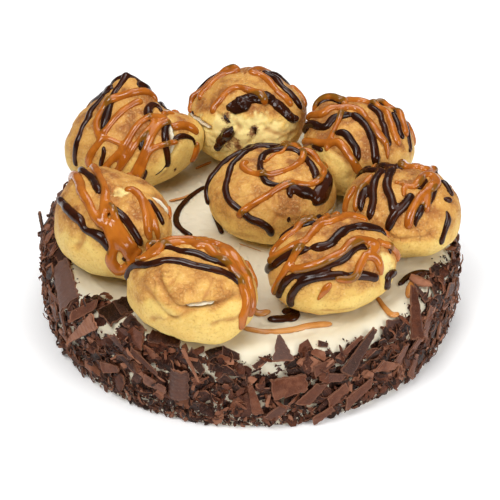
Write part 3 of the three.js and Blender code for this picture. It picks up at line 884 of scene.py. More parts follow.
@dataclass(frozen=True)
class Bun:
    """A choux bun, as one distance from its centre for every direction.

    Its place, its half sizes, its rise above and its foot below the centre are in millimetres,
    and seat is the centre's height over the cream. A bump is an azimuth, an elevation, a
    height and a spread in degrees. A bun with more bake is browner.
    """

    name: str
    at: tuple[float, float]
    half: tuple[float, float]
    rise: float
    foot: float
    seat: float
    turn: float
    squareness: float
    bumps: tuple[tuple[float, float, float, float], ...]
    strands: tuple[Strand, ...]
    lean: float = 0.0
    lean_to: float = 0.0
    slit: Slit | None = None
    creases: tuple[Crease, ...] = ()
    torn: tuple[Patch, ...] = ()
    pale: tuple[Patch, ...] = ()
    stains: tuple[Patch, ...] = ()
    bake: float = 0.0

    SIDES = 208
    RINGS = 118
    STEEPEST = 89.0
    SKIN = 27.0
    SWELLS = ((0.9, 14.0), (0.45, 7.0))
    SLIT_DEPTH = 5.0
    LEAST_RADIUS = 3.0
    HALVINGS = 22

    @property
    def centre(self) -> Array:
        """The middle of the bun in the cake's frame."""
        return np.array([*self.at, CAKE_HEIGHT + self.seat])

    @property
    def tilt(self) -> Array:
        """The matrix from the bun's own frame to the cake's."""
        return tipping(self.lean, self.lean_to)

    @property
    def noise(self) -> Relief:
        """The bun's own noise."""
        return Relief(sum(map(ord, self.name)))

    def form(self, ways: Array) -> Array:
        """Returns the smooth distance from the centre to the crust along unit vectors."""
        cos, sin = math.cos(math.radians(self.turn)), math.sin(math.radians(self.turn))
        across = (ways[:, 0] * cos + ways[:, 1] * sin) / self.half[0]
        deep = (-ways[:, 0] * sin + ways[:, 1] * cos) / self.half[1]
        up = ways[:, 2] / np.where(ways[:, 2] > 0, self.rise, self.foot)
        power = self.squareness
        radius = (np.hypot(across, deep) ** power + np.abs(up) ** power) ** (-1 / power)
        for azimuth, elevation, height, spread in self.bumps:
            away = np.degrees(np.arccos(np.clip(ways @ unit(azimuth, elevation), -1, 1)))
            radius = radius + height * np.exp(-(away / spread) ** 2)
        return radius

    def crust(self, ways: Array) -> tuple[Array, dict[str, Array]]:
        """Adds what the oven did to the smooth form.

        Args:
            ways: unit vectors in the bun's own frame.

        Returns:
            The distance to the crust, and the marks that its finish reads.
        """
        noise, skin = self.noise, ways * self.SKIN
        azimuths = azimuth_of(ways)
        elevations = np.degrees(np.arcsin(np.clip(ways[:, 2], -1, 1)))
        upper = smooth(-25, 25, elevations)
        relief, crack = self.oven_relief(skin, upper)
        radius = self.form(ways) + noise.waves(skin, *self.SWELLS) + relief
        ragged = 0.6 * noise.at(skin + 70, 6.0) + 0.45 * noise.at(skin + 80, 2.4)
        torn = self.spots(self.torn, azimuths, elevations, ragged, (-0.05, 0.4))
        pits = smooth(0.15, 0.6, noise.at(skin + 30, 2.6))
        pits = pits + 0.6 * smooth(0.2, 0.6, noise.at(skin + 60, 4.6))
        radius = radius - torn * (0.7 + 0.7 * pits - 0.5 * noise.at(skin, 4.0))
        raised, lip = self.creased(ways)
        radius = radius + raised
        stain = self.spots(self.stains, azimuths, elevations, 0.8 * noise.at(skin + 10, 2.6),
                           (0.0, 1.1))
        if self.slit:
            opening = self.opening(ways * radius[:, None])
            radius = radius - self.SLIT_DEPTH * opening
            torn = np.maximum(torn, 0.8 * smooth(0.05, 0.5, opening))
        # The crack mark holds the crack lines and crease grooves, which the finish paints darker
        # as shade.
        return radius, {"toast": self.toasted(skin, azimuths, elevations), "torn": torn,
                        "crack": np.maximum(crack * 0.5, lip), "stain": stain}

    def oven_relief(self, skin: Array, upper: Array) -> tuple[Array, Array]:
        """Works out the cracks, folds and grain of the risen crust.

        Args:
            skin: places on a ball of the bun's usual size.
            upper: 1 on the bun's upper part and 0 low down.

        Returns:
            How far the crust is raised, and how cracked it is.
        """
        noise = self.noise
        warp = skin + 2.5 * noise.drift(skin, 8.0, 40)
        line = np.exp(-(noise.at(warp, 13.0) / 0.055) ** 2)
        crack = line * smooth(0.0, 0.4, noise.at(skin + 90, 19.0)) * upper ** 2
        fold = np.exp(-(noise.at(warp + 200, 6.0) / 0.06) ** 2) * upper
        fold = fold * smooth(-0.15, 0.25, noise.at(skin + 120, 12.0))
        grain = 0.26 * noise.at(warp, 3.4) + 0.13 * noise.at(skin, 1.9)
        return (0.3 + 0.7 * upper) * grain - 0.75 * crack - 0.34 * fold, crack

    @staticmethod
    def spots(patches: Sequence[Patch], azimuths: Array, elevations: Array, ragged: Array,
              border: tuple[float, float]) -> Array:
        """Returns 1 in the patches and 0 outside them, over a ragged border."""
        shares = [smooth(*border, patch.cover(azimuths, elevations) + ragged) for patch in patches]
        return np.max([np.zeros(len(azimuths)), *shares], axis=0)

    def creased(self, ways: Array) -> tuple[Array, Array]:
        """Works out the creases.

        Args:
            ways: unit vectors in the bun's own frame.

        Returns:
            How far they raise the crust, and where their grooves are, which the finish paints
            darker as shade.
        """
        noise, skin = self.noise, ways * self.SKIN
        raised, lip = np.zeros(len(ways)), np.zeros(len(ways))
        for crease in self.creases:
            curve = normed(flowing(unit(*np.array(crease.stops, float).T), 12))
            nearest = (ways @ curve.T).argmax(axis=1)
            close = curve[nearest]
            away = np.linalg.norm(ways - close, axis=1) * self.SKIN + 0.8 * noise.at(skin, 4.0)
            above = smooth(-0.02, 0.02, ways[:, 2] - close[:, 2])
            share = np.minimum(nearest, len(curve) - 1 - nearest) / len(curve)
            groove = np.exp(-(away / (1.25 * crease.width)) ** 2)
            groove = groove * smooth(-0.04, 0.16, share) * (0.8 + 0.6 * noise.at(skin + 5, 5.0))
            proud = crease.lip * above * smooth(0.0, 0.3, share)
            proud = proud * np.exp(-(away / (5 * crease.width)) ** 2)
            raised = raised + proud - crease.depth * groove
            # lip marks the groove under the proud lip, which the finish paints darker as shade.
            lip = np.maximum(lip, groove * 0.6)
        return raised, lip

    def toasted(self, skin: Array, azimuths: Array, elevations: Array) -> Array:
        """Works out how brown the crust is.

        Args:
            skin: places on a ball of the bun's usual size.
            azimuths: their azimuths in degrees.
            elevations: their elevations in degrees.

        Returns:
            0 where it is palest and 1 where it is brownest.
        """
        noise = self.noise
        toast = smooth(-22, 34, elevations + 9 * noise.at(skin + 20, 15.0)) * 0.72 + 0.1
        toast = toast + self.bake + 0.09 * noise.at(skin, 6.0) + 0.12 * noise.at(skin + 140, 11.0)
        for patch in self.pale:
            soft = patch.cover(azimuths, elevations) + 0.3 * noise.at(skin + 50, 8.0)
            toast = toast * (1 - 0.85 * smooth(0.0, 0.5, soft))
        return toast

    def opening(self, points: Array) -> Array:
        """Returns how far points of the bun's own frame are inside its torn opening."""
        slit = self.slit
        local = points @ slit.plane()
        across = np.abs(local[:, 2] - slit.offset)
        root = -0.3 * self.half[0]
        angle = np.degrees(np.arctan2(local[:, 1], local[:, 0] - root))
        wide = slit.openness(angle)
        half = slit.gap / 2 * (0.1 + 0.9 * wide)
        inside = smooth(0.5, -0.4, across - half) * (0.12 + 0.88 * wide)
        return inside * smooth(slit.spread + 1.5, slit.spread - 5, np.abs(angle))

    def settled(self, points: Array) -> Array:
        """Takes points from the bun's own frame to the cake's."""
        return points @ self.tilt.T + self.centre

    def depth(self, points: Array) -> Array:
        """Returns how deep places in the cake's frame lie under this bun's smooth form."""
        local = (points - self.centre) @ self.tilt
        length = np.linalg.norm(local, axis=1)
        return self.form(local / length[:, None]) - length

    def skin(self, ways: Array) -> Array:
        """Returns places on the crust, without its finest relief, in the cake's frame."""
        swell = self.noise.waves(ways * self.SKIN, *self.SWELLS)
        return self.settled(ways * (self.form(ways) + swell)[:, None])

    def build(self, finish: Material, earlier: Sequence["Bun"]) -> Piece:
        """Makes the bun's crust.

        Args:
            finish: the crust's material.
            earlier: the buns that it gives way to.

        Returns:
            The finished piece.
        """
        elevations = np.linspace(self.STEEPEST, -self.STEEPEST, self.RINGS)
        azimuths = np.arange(self.SIDES) * 360.0 / self.SIDES
        ring = unit(*(grid.ravel() for grid in np.meshgrid(azimuths, elevations)))
        ways = np.concatenate([[[0, 0, 1.0]], ring, [[0, 0, -1.0]]])
        radius, marks = self.crust(ways)
        aims = ways @ self.tilt.T
        down = aims[:, 2].clip(-1, -0.05)
        drop = np.where(aims[:, 2] < -0.05, (BUN_FLOOR - self.centre[2]) / down, FAR)
        radius = np.minimum(radius, drop)
        for other in earlier:
            low, high = np.full(len(ways), self.LEAST_RADIUS), radius.copy()
            inside = other.depth(self.centre + aims * high[:, None]) > -NEIGHBOUR_GAP
            for _ in range(self.HALVINGS):
                middle = (low + high) / 2
                hit = other.depth(self.centre + aims * middle[:, None]) > -NEIGHBOUR_GAP
                low, high = np.where(hit, low, middle), np.where(hit, middle, high)
            radius = np.where(inside, low, radius)
        points = self.centre + aims * radius[:, None]
        piece = spawn(f"bun_{self.name}_crust", points, ball_faces(self.RINGS, self.SIDES), finish,
                      marks)
        return dress(piece, "choux_crust", f"bun_{self.name}")

    def cream_in_slit(self, finish: Material, others: Sequence["Bun"]) -> Piece | None:
        """Makes the cream that shows in the torn opening.

        Args:
            finish: the cream's material.
            others: the neighbours that it stays clear of.

        Returns:
            The finished piece, or nothing where the bun has no opening.
        """
        if not self.slit:
            return None
        slit = self.slit
        noise = Relief(90 + len(self.name))
        rows, columns, depth = 72, 16, 9.0
        nearest, furthest, probes = 4, 75, 300
        spans = np.linspace(-1, 1, rows)
        angles = np.radians(spans * (slit.spread - 1.5))
        root = -0.3 * self.half[0] + 1.2
        matrix = slit.plane()
        steps = np.linspace(nearest, furthest, probes)
        around = 2 * np.pi * np.arange(columns) / columns
        points = []
        for span, angle in zip(spans, angles):
            way = np.array([math.cos(angle), math.sin(angle), 0.0])
            line = np.array([root, 0, slit.offset]) + steps[:, None] * way
            local = line @ matrix.T
            length = np.linalg.norm(local, axis=1)
            outside = np.where(length > self.form(local / length[:, None]) * slit.bulge)[0]
            reach = steps[outside[0]] if len(outside) else steps[-1]
            lump = noise.at(np.array([[span * 14.0, 3.0, 5.0]]), 1.7)[0]
            swell = noise.at(np.array([[span * 14.0, 33.0, 5.0]]), 2.3)[0]
            wide = float(slit.openness(math.degrees(angle)))
            end = reach + 0.6 * lump - 3.2 * (1 - wide)
            thick = (slit.gap / 2 - 0.32) * (1 + 0.2 * swell) * (0.3 + 0.7 * wide)
            thick = thick * math.sqrt(max(0.02, 1 - span ** 8))
            tongue = depth * math.sqrt(max(0.05, 1 - span ** 6))
            along = end - tongue / 2 + tongue / 2 * np.sign(np.cos(around)) * np.abs(
                np.cos(around)) ** 0.6
            over = slit.offset + thick * np.sin(around)
            flat = np.stack([root + along * way[0], along * way[1], over], axis=1)
            points.append(flat @ matrix.T)
        middles = [points[0].mean(axis=0), points[-1].mean(axis=0)]
        points = self.settled(np.concatenate([*points, middles]))
        points += 0.12 * noise.drift(points, 2.2, 9)
        points[:, 2] = np.maximum(points[:, 2], BUN_FLOOR)
        for other in others:
            sunk = other.depth(points) + NEIGHBOUR_GAP
            points += normed(points - other.centre) * np.maximum(sunk, 0)[:, None]
        faces = [face[::-1] for face in grid_faces(rows, columns, True)]
        first, last = rows * columns, rows * columns + 1
        for c in range(columns):
            d = (c + 1) % columns
            faces.append((first, d, c))
            faces.append((last, (rows - 1) * columns + c, (rows - 1) * columns + d))
        piece = spawn(f"filling_{self.name}_cream", points, faces, finish,
                      {"dusted": np.zeros(len(points))})
        return dress(piece, "cream", f"filling_{self.name}")


BUNS = (
    Bun(
        "back_left", (-60, 48), (33, 30), 25, 21, 20, 15, 2.2,
        ((80, 69, 9.5, 27), (34, 33, -9, 36), (190, -10, 4, 32), (2, 6, 6, 24)),
        piped(Sauce.CHOCOLATE, """
            1.5: 118,60,0.8 104,69 86,70 68,69,1.1 46,70,0.8
            1.9: 94,73 120,79 178,75 215,66,2.2 228,55,2.5 234,41,1.5
            1.3: 243,28 244,20 242,13 241,6
            1.9: 142,71 150,60 170,53 187,46 200,42 204,34 210,25 212,11 213,0
            2.4: 309,51,2.8 328,61 350,60,2 357,53,1.6 344,47,1.2
            1.4: 297,38 287,31 282,22
            1.7: 284,3 279,-7 276,-16
            1.8: 331,35,1.2 321,33 314,26,2.2 310,18 309,8 307,-4,1.2
            0.7: 307,1 299,-5 292,-8
            1.6: 320,20,1.2 329,19,1.8 337,14 341,8,1.1 340,2,0.7
            0.9: 48,75 32,74 33,68
            1.2: 315,-9 315,-12
        """) + piped(Sauce.CARAMEL, """
            2.1: 16,53 25,60 23,69 10,81 230,88 195,76 203,65 212,54 220,45 231,37 237,33 231,19
                229,11 231,4
            2: 344,72 301,76 262,70 248,60 242,50 236,35
            1.6: 234,33 247,35 258,32 269,30
            1.9: 336,38 330,45 318,50 300,52 281,45 270,34 261,23 251,14 242,3,1.6
            1.7: 317,45 304,42 288,35 277,27 270,19 262,10 254,1 249,-8
            2: 333,35 319,39 305,36 294,28 286,20 279,11 273,2 267,-8,1.6
            1.6: 323,17 312,20 301,21 292,19 286,13 281,4 276,-6
            1.6: 264,20 261,12 257,3 256,-5 254,-14
            1.8: 258,-8 264,-5 272,-10
            1.8: 338,46 354,40 1,32
            2.6: 328,30,2 342,24 347,17 348,9,2
            2: 343,5 341,-5 338,-15
        """),
        lean=6, lean_to=180, slit=Slit(340, 42, 4.7, 57, 230, 3.2, 0.99, (-12, 16)),
        creases=(Crease(1.1, 1.4, 0.5, ((194, 52), (201, 32), (208, 10), (212, -6))),
                 Crease(0.6, 0.7, 0.3, ((307, 9), (307, -5), (297, -15))),
                 Crease(0.5, 0.6, 0.2, ((258, 56), (271, 34), (276, 15)))),
        pale=(Patch(330, -6, 45, 24), Patch(292, -24, 32, 20)),
        stains=(Patch(315, -10, 4, 4),),
    ),
    Bun(
        "back", (-2, 67), (30.5, 29), 24.5, 21, 21, 0, 2.2,
        ((90, 60, 2, 30), (-10, 25, 3, 25)),
        piped(Sauce.CHOCOLATE, """
            1.9: 115,64 136,53 150,45 161,37 170,27 180,21
            2.2: 33,64 11,56 345,47 341,38 339,29 341,19
            0.9: 196,17 203,16
            0.6: 262,70 280,74
        """) + piped(Sauce.CHOCOLATE, """
            3: 247,32,1.8 254,39 262,44,3.6 273,48,3.6 284,48,3.2 295,45,2.8 306,43,2.8 312,36,3.1
                317,29 322,20,3 329,12,1.8
            2.8: 254,31,1.6 264,37 276,42,2
            2: 300,54,1.2 307,48 311,42
            2.7: 257,16,1.4 251,9 245,2,2.9 241,-5,2.2 237,-14,0.8
            0.9: 243,30 248,24 252,20
            0.9: 275,17 281,14 278,8
        """, ragged=True) + piped(Sauce.CARAMEL, """
            2.1: 197,30 189,37 185,45 170,53 151,62 125,71
            1.7: 118,60 140,56 158,48 171,38 176,27 183,17 193,14
            2.2: 229,25 227,32 229,38 231,45 232,54 245,63 271,61 290,52 298,38
            2.1: 56,78 17,71 345,60 328,48 329,37 329,27
            1.8: 10,38 2,26 352,16
        """),
        lean=8, lean_to=90, slit=Slit(195, 28, 1, 10, 20, 3.2, 0.99, (-14, 30)),
        creases=(Crease(0.9, 1.0, 0.5, ((250, 6), (262, -4), (270, -14))),
                 Crease(0.7, 0.9, 0.6, ((288, 18), (300, 8), (318, 2), (335, 2))),
                 Crease(0.8, 1.0, 0.5, ((256, 26), (262, 16), (258, 8)))),
        torn=(Patch(268, 2, 62, 30),), pale=(Patch(270, 0, 75, 36),),
        stains=(Patch(245, 26, 8, 9), Patch(278, 13, 9, 8), Patch(257, -3, 12, 10),
                Patch(250, 8, 9, 9), Patch(254, 34, 9, 6)),
    ),
    Bun(
        "back_right", (56.5, 44), (28.5, 29), 20.5, 18, 18, -30, 2.5,
        ((150, 45, 5, 25), (-120, -10, 3, 25)),
        piped(Sauce.CHOCOLATE, """
            2.2: 170,14 178,30 195,39 200,44 192,54 190,64 179,78
            2.3: 179,78 266,78 286,58 287,42 286,29 284,14
            2.2: 222,44,1.6 239,48 255,40 263,32 265,20
            2: 57,62 12,64 331,56 314,44 306,30
            1.8: 17,48 357,44 339,37 333,28
            1.6: 32,40 15,33 354,28 340,18 333,12
            1.3: 205,19 215,21 224,22
            1.8: 152,36 142,44 131,50 137,60
        """) + piped(Sauce.CARAMEL, """
            2.1: 155,30 145,40 137,49 135,58 116,56 93,50 75,50 47,55 18,55 350,51 331,43 323,33
                319,26
            2.2: 160,24 167,34 175,46 167,55 154,64 130,72 97,80 309,74 300,54 302,43 303,34,1.8
                299,18,0.8
            1.6: 134,63 178,66 206,57 219,44 223,35 228,23
            2.2: 180,8 199,21 215,27 227,32 236,36 248,32 256,25 262,19 266,12 272,8
            1.9: 67,44 51,40 37,36 16,37 353,33 342,26
        """),
        creases=(Crease(1.3, 1.2, 0.6, ((222, 30), (240, 26), (252, 22), (258, 12), (259, -2))),
                 Crease(0.4, 0.5, 0.2, ((275, 48), (281, 36), (284, 22)))),
        pale=(Patch(236, 8, 26, 22),), bake=0.04,
    ),
    Bun(
        "middle", (11, 2), (32.5, 29), 20, 17, 17, 10, 2.4,
        ((-80, 30, 1.5, 25),),
        piped(Sauce.CHOCOLATE, """
            2: 192,-3 182,6 172,18 160,26 140,32 117,30
            2: 117,30 95,29 72,32 50,30 34,24 20,23,1.5 7,25,2.2 353,24,3.4 340,25,4.4 326,24,4.8
                315,21,3.2
            2: 74,45 95,41 113,39 133,42 157,42 174,38 187,36 209,26 221,21 231,19 239,17
            2.1: 239,17 248,13 258,11 266,6 270,-4
            2: 292,50,1 274,51,1.5 255,54 231,65 186,71 128,66 98,57 67,48 40,43 11,43,2.4
                356,39,2.8 340,37,2.2
            2: 290,50,1 300,45,2.4 308,38,3 316,33,4.2 316,26,3.8
            1.5: 305,43 297,44 292,40 292,34
            1: 286,18 285,11
        """) + piped(Sauce.CARAMEL, """
            1: 67,52 90,68 170,74
            1.9: 50,38 30,47 9,58 337,68 285,71 246,65 217,58 195,53 178,51 165,56
            1.9: 72,46 58,38 45,31 33,28 18,28 359,31 341,35 326,39 313,46 296,49 276,46 263,39
                250,30 242,22 235,11
        """),
        lean=4, lean_to=-60, slit=Slit(325, 58, -3, 6, 120, 2.8, 0.99, (-3, 32)),
        creases=(Crease(1.3, 1.1, 1.0, ((188, 3), (204, -1), (216, -7), (228, -10), (241, -9),
                                        (256, -9))),
                 Crease(0.6, 0.6, 0.3, ((260, 46), (269, 36), (269, 26), (275, 19), (283, 15))),
                 Crease(0.5, 0.5, 0.2, ((275, 19), (270, 10), (273, 2))),
                 Crease(0.5, 0.5, 0.2, ((283, 15), (296, 13), (308, 17)))),
        pale=(Patch(300, -10, 30, 16),), bake=-0.04, stains=(Patch(262, 62, 16, 6),),
    ),
    Bun(
        "left", (-66.5, -29), (31, 27.5), 25, 20, 19.5, -55, 2.4,
        ((130, 40, 4, 25), (-60, -20, 3, 30)),
        piped(Sauce.CHOCOLATE, """
            2.3: 176,28,1.8 205,32 225,30,2.6 235,28 243,21,1.8 254,19,2.2 262,16,2.6 266,11,2.1
                269,3,0.9
            2.1: 128,36,1.5 140,50 157,64 219,68 244,61,1.3
            2.1: 269,47 277,41 284,35 290,26 294,18 298,8
            1.4: 281,0 284,-5,0.8
            1.7: 328,46 327,34 328,18
        """) + piped(Sauce.CARAMEL, """
            2.4: 136,26 146,42 168,53 202,54 234,47 249,37 259,30 265,25,2
            2.2: 118,44 128,60 143,70,1.8 220,76 256,62 259,50 261,36
            2.3: 272,52 263,46 262,34 269,20 273,8 271,-4,2.7 277,-14,2.6 281,-19,1.6
            2.1: 262,49 272,42 278,30 283,21 288,12 294,7,1.8
            2.6: 268,34,2 273,24,3 278,14,3.2 286,6,3 292,3,2.2
            1.8: 266,25 274,17 281,8 286,0 290,-2
            2.3: 278,-16 284,-10 291,-1 297,6,2
            2.2: 306,69,1.6 322,63 320,52 313,41 308,28 306,18 308,8,1.5
            2.1: 322,60,1.4 319,43 317,31 316,19 317,8,1.5
            1.7: 0,26 350,15
        """),
        lean=10, lean_to=80, slit=Slit(332, 40, 0, 80, 85, 2.8, 1.0, (-17, 2)),
        creases=(Crease(1.7, 1.2, 0.5, ((239, 22), (240, 12), (238, 4), (230, -4))),
                 Crease(1.8, 2.2, 0.6, ((250, 84), (274, 72), (280, 60), (272, 45), (262, 30)))),
        torn=(Patch(290, 67, 22, 9),), pale=(Patch(235, -8, 50, 20),),
    ),
    Bun(
        "front", (-27, -79), (31, 25), 22, 18, 18.5, -16, 2.4,
        ((-60, -25, 2.5, 30),),
        piped(Sauce.CHOCOLATE, """
            2: 173,8 173,22 177,30 188,41 194,51 202,62 236,72 284,69 312,57 323,48 329,38 331,28
            1.9: 149,53,1 148,64,1.7 156,76 43,88 349,77,2.1 338,66,2.2 339,55 340,46,1.6
            1.5: 345,33 343,26
        """) + piped(Sauce.CARAMEL, """
            2.5: 177,34 168,41 153,50 136,55 107,61 71,66
            2.2: 151,32 140,38 125,44 102,48 78,50 60,50
            2.5: 61,59,2.2 50,50 38,46 17,45,3 357,40,3 346,32 340,23 337,12 333,5 327,-3,2.2
            2: 30,52 8,52 352,46 343,36
            2.3: 72,72 43,67 8,64 347,56 343,46 336,37 331,26 329,17 325,10 320,0 319,-13
            2: 173,30 173,40 170,50 153,54
        """),
        slit=Slit(285, 55, 7, 8, 120, 2.8, 0.985, (-13, 8)),
        creases=(Crease(2.0, 1.3, 1.8, ((203, 54), (214, 46), (227, 39), (238, 34), (245, 29),
                                        (254, 24), (263, 22), (272, 23), (290, 24), (301, 23),
                                        (312, 24), (324, 22), (334, 21))),
                 Crease(0.8, 0.8, 0.0, ((246, 58), (243, 50), (241, 42), (238, 36))),
                 Crease(0.4, 0.6, 0.2, ((307, 49), (291, 36), (281, 27))),
                 Crease(1.6, 1.3, 1.2, ((200, 20), (214, 24), (228, 21), (240, 14), (250, 8),
                                        (261, 13), (275, 19))),
                 Crease(1.3, 1.1, 0.9, ((222, -8), (232, 0), (243, 3), (250, 8))),
                 Crease(0.7, 0.9, 0.5, ((285, -2), (298, 4), (312, 2), (324, 6)))),
        pale=(Patch(300, -6, 62, 27), Patch(235, 4, 30, 18)),
        bake=-0.12,
    ),
    Bun(
        "front_right", (39, -58), (31.5, 25), 20.5, 18, 17.5, 20, 2.4,
        ((75, 30, 1.5, 30),),
        piped(Sauce.CHOCOLATE, """
            2.3: 186,0 192,8 198,14 204,22 209,33 216,43 223,50
            2.5: 223,52,2.1 239,57 259,65 300,79,2.9 13,73 27,59,2.1 25,48 25,37 25,28 18,23,1.4
            2.2: 167,22 158,32 149,38 144,44 131,52 111,46
            2.1: 213,-10 218,3 222,12 228,20,1.6 239,27,1.4 251,33,1.6 263,39 278,42 291,46
                306,52,2.3 326,51 333,42,1.2
            2.2: 228,-14 228,-6 230,2 235,13 243,20 254,24 267,27 278,27 288,24 300,23 312,18
                323,10
            2.2: 343,-14 337,-4 340,2 350,0 357,-4,1.4
            1.1: 5,28 352,20
        """) + piped(Sauce.CARAMEL, """
            2.1: 187,14 180,24 176,34 165,42 148,43 135,46 126,50
            2.2: 197,15 200,31 202,42 203,53 178,66 131,69 99,70 76,62 66,50 58,42 42,33
            1.8: 160,64 120,60 98,52
            2: 209,-9 215,7 217,18 217,29 216,40 212,49
            2.4: 222,23 234,29 249,37 263,44 285,52 312,58 338,54 349,45 350,38 340,37 333,43
            2: 270,24,1.4 288,22 297,26 306,33 319,38 329,39
            2.2: 323,40,2.8 330,31 330,21 328,11,1.4
            1.7: 253,-2,0.7 260,10 267,20
            2: 4,36 358,33 359,24 3,13 2,4
        """),
        creases=(Crease(0.6, 0.6, 0.4, ((262, 33), (274, 37), (285, 40), (298, 32))),
                 Crease(0.5, 0.6, 0.3, ((250, -14), (275, -16), (301, -14)))),
        torn=(Patch(342, 12, 10, 14),), pale=(Patch(300, -12, 60, 14), Patch(342, 8, 16, 20)),
        bake=0.05,
    ),
    Bun(
        "right", (75, -12), (29.5, 27), 21, 16.5, 16.5, -10, 2.3,
        ((-60, -5, 1.5, 30),),
        piped(Sauce.CHOCOLATE, """
            2.2: 141,54 174,55 204,47 219,39 225,30 229,20
            2.3: 184,44,1.4 200,36 209,28 215,23
            2.4: 119,62 170,71 218,62 242,52 251,42 255,33
            2.4: 288,58 274,49 265,41 256,32 253,25 251,14
            1.7: 3,60 330,64 309,62
            2.1: 298,42 287,33 282,27,1.5 281,19,0.6
            1.5: 340,49 320,45 307,38,0.7
            1.7: 14,40 2,36 355,33 348,29
            2: 331,36 340,28
            1.9: 323,26,0.8 320,18 314,11 309,3 307,-5
            1.6: 112,56 98,52 92,62
        """) + piped(Sauce.CARAMEL, """
            2: 208,19 199,28 190,37 173,45 160,51
            2: 194,8 190,13 184,25 173,32
            2.4: 297,65 346,68 21,61 23,51 3,49,2.9 341,52,2.7 319,53 299,51 285,43 276,32 272,18
            1.7: 252,76 283,70 306,65
            1.5: 266,71 268,54
            1.7: 221,73 243,77
            1.9: 320,51 304,41 298,32
            2.4: 88,59 72,50 60,46 49,47
        """),
        creases=(Crease(1.1, 0.9, 0.8, ((244, 15), (252, 12), (264, 8), (279, 9), (292, 10),
                                        (305, 11))),
                 Crease(0.5, 0.5, 0.2, ((322, 48), (320, 42), (310, 31), (303, 21)))),
        pale=(Patch(280, -10, 50, 17),), bake=0.02,
    ),
)


# ------------------------------------------------------------------ sauces
@dataclass
class Bead:
    """One strand laid out: where it runs, which way is up and how wide it is."""

    points: Array
    up: Array
    half: Array


class NodeTool:
    """A Geometry Nodes tree with named inputs, whose result is real geometry in a finish."""

    def __init__(self, name: str, kinds: dict[str, str]) -> None:
        """Starts the tree.

        Args:
            name: the tree's name.
            kinds: the kind of socket for each named input.
        """
        self.tree = bpy.data.node_groups.new(name, "GeometryNodeTree")
        self.weave = Weave(self.tree)
        self.sockets = {}
        for key, kind in {"Geometry": "Geometry", "Finish": "Material", **kinds}.items():
            self.sockets[key] = self.tree.interface.new_socket(
                key, in_out="INPUT", socket_type=f"NodeSocket{kind}")
        self.tree.interface.new_socket("Geometry", in_out="OUTPUT",
                                       socket_type="NodeSocketGeometry")
        self.given = self.tree.nodes.new("NodeGroupInput").outputs

    def stored(self, name: str, kind: str = "FLOAT") -> Socket:
        """Reads what a piece stores under a name."""
        return self.weave.add("GeometryNodeInputNamedAttribute", {"data_type": kind},
                              Name=name).outputs["Attribute"]

    def end(self, geometry: Node) -> None:
        """Ends the tree: the instances made real, then the finish."""
        real = self.weave.add("GeometryNodeRealizeInstances", Geometry=geometry)
        done = self.weave.add("GeometryNodeSetMaterial", Geometry=real,
                              Material=self.given["Finish"])
        self.weave.add("NodeGroupOutput", Geometry=done)

    def use(self, piece: Piece, **values: object) -> None:
        """Adds the tree to a piece as a modifier.

        Args:
            piece: a mesh object.
            values: the value of each input by its name, with _ for a space.
        """
        modifier = piece.modifiers.new(self.tree.name, "NODES")
        modifier.node_group = self.tree
        for key, value in values.items():
            modifier[self.sockets[key.replace("_", " ")].identifier] = value


class PipingTree(NodeTool):
    """Sweeps a bead of sauce along every laid-out strand."""

    def __init__(self) -> None:
        """Builds the tree: Height is the bead's height over its width, Sides its corners."""
        super().__init__("Piping", {"Height": "Float", "Sides": "Int"})
        weave, given = self.weave, self.given
        path = weave.add("GeometryNodeMeshToCurve", Mesh=given["Geometry"])
        path = weave.add("GeometryNodeSetCurveNormal", {"mode": "FREE"},
                         Curve=path, Normal=self.stored("up", "FLOAT_VECTOR"))
        ring = weave.add("GeometryNodeCurvePrimitiveCircle", Resolution=given["Sides"], Radius=1.0)
        squash = weave.add("ShaderNodeCombineXYZ", X=given["Height"], Y=1.0, Z=1.0)
        ring = weave.add("GeometryNodeTransform", Geometry=ring, Scale=squash)
        self.end(weave.add("GeometryNodeCurveToMesh", Curve=path, Profile_Curve=ring,
                           Scale=self.stored("half"), Fill_Caps=True))


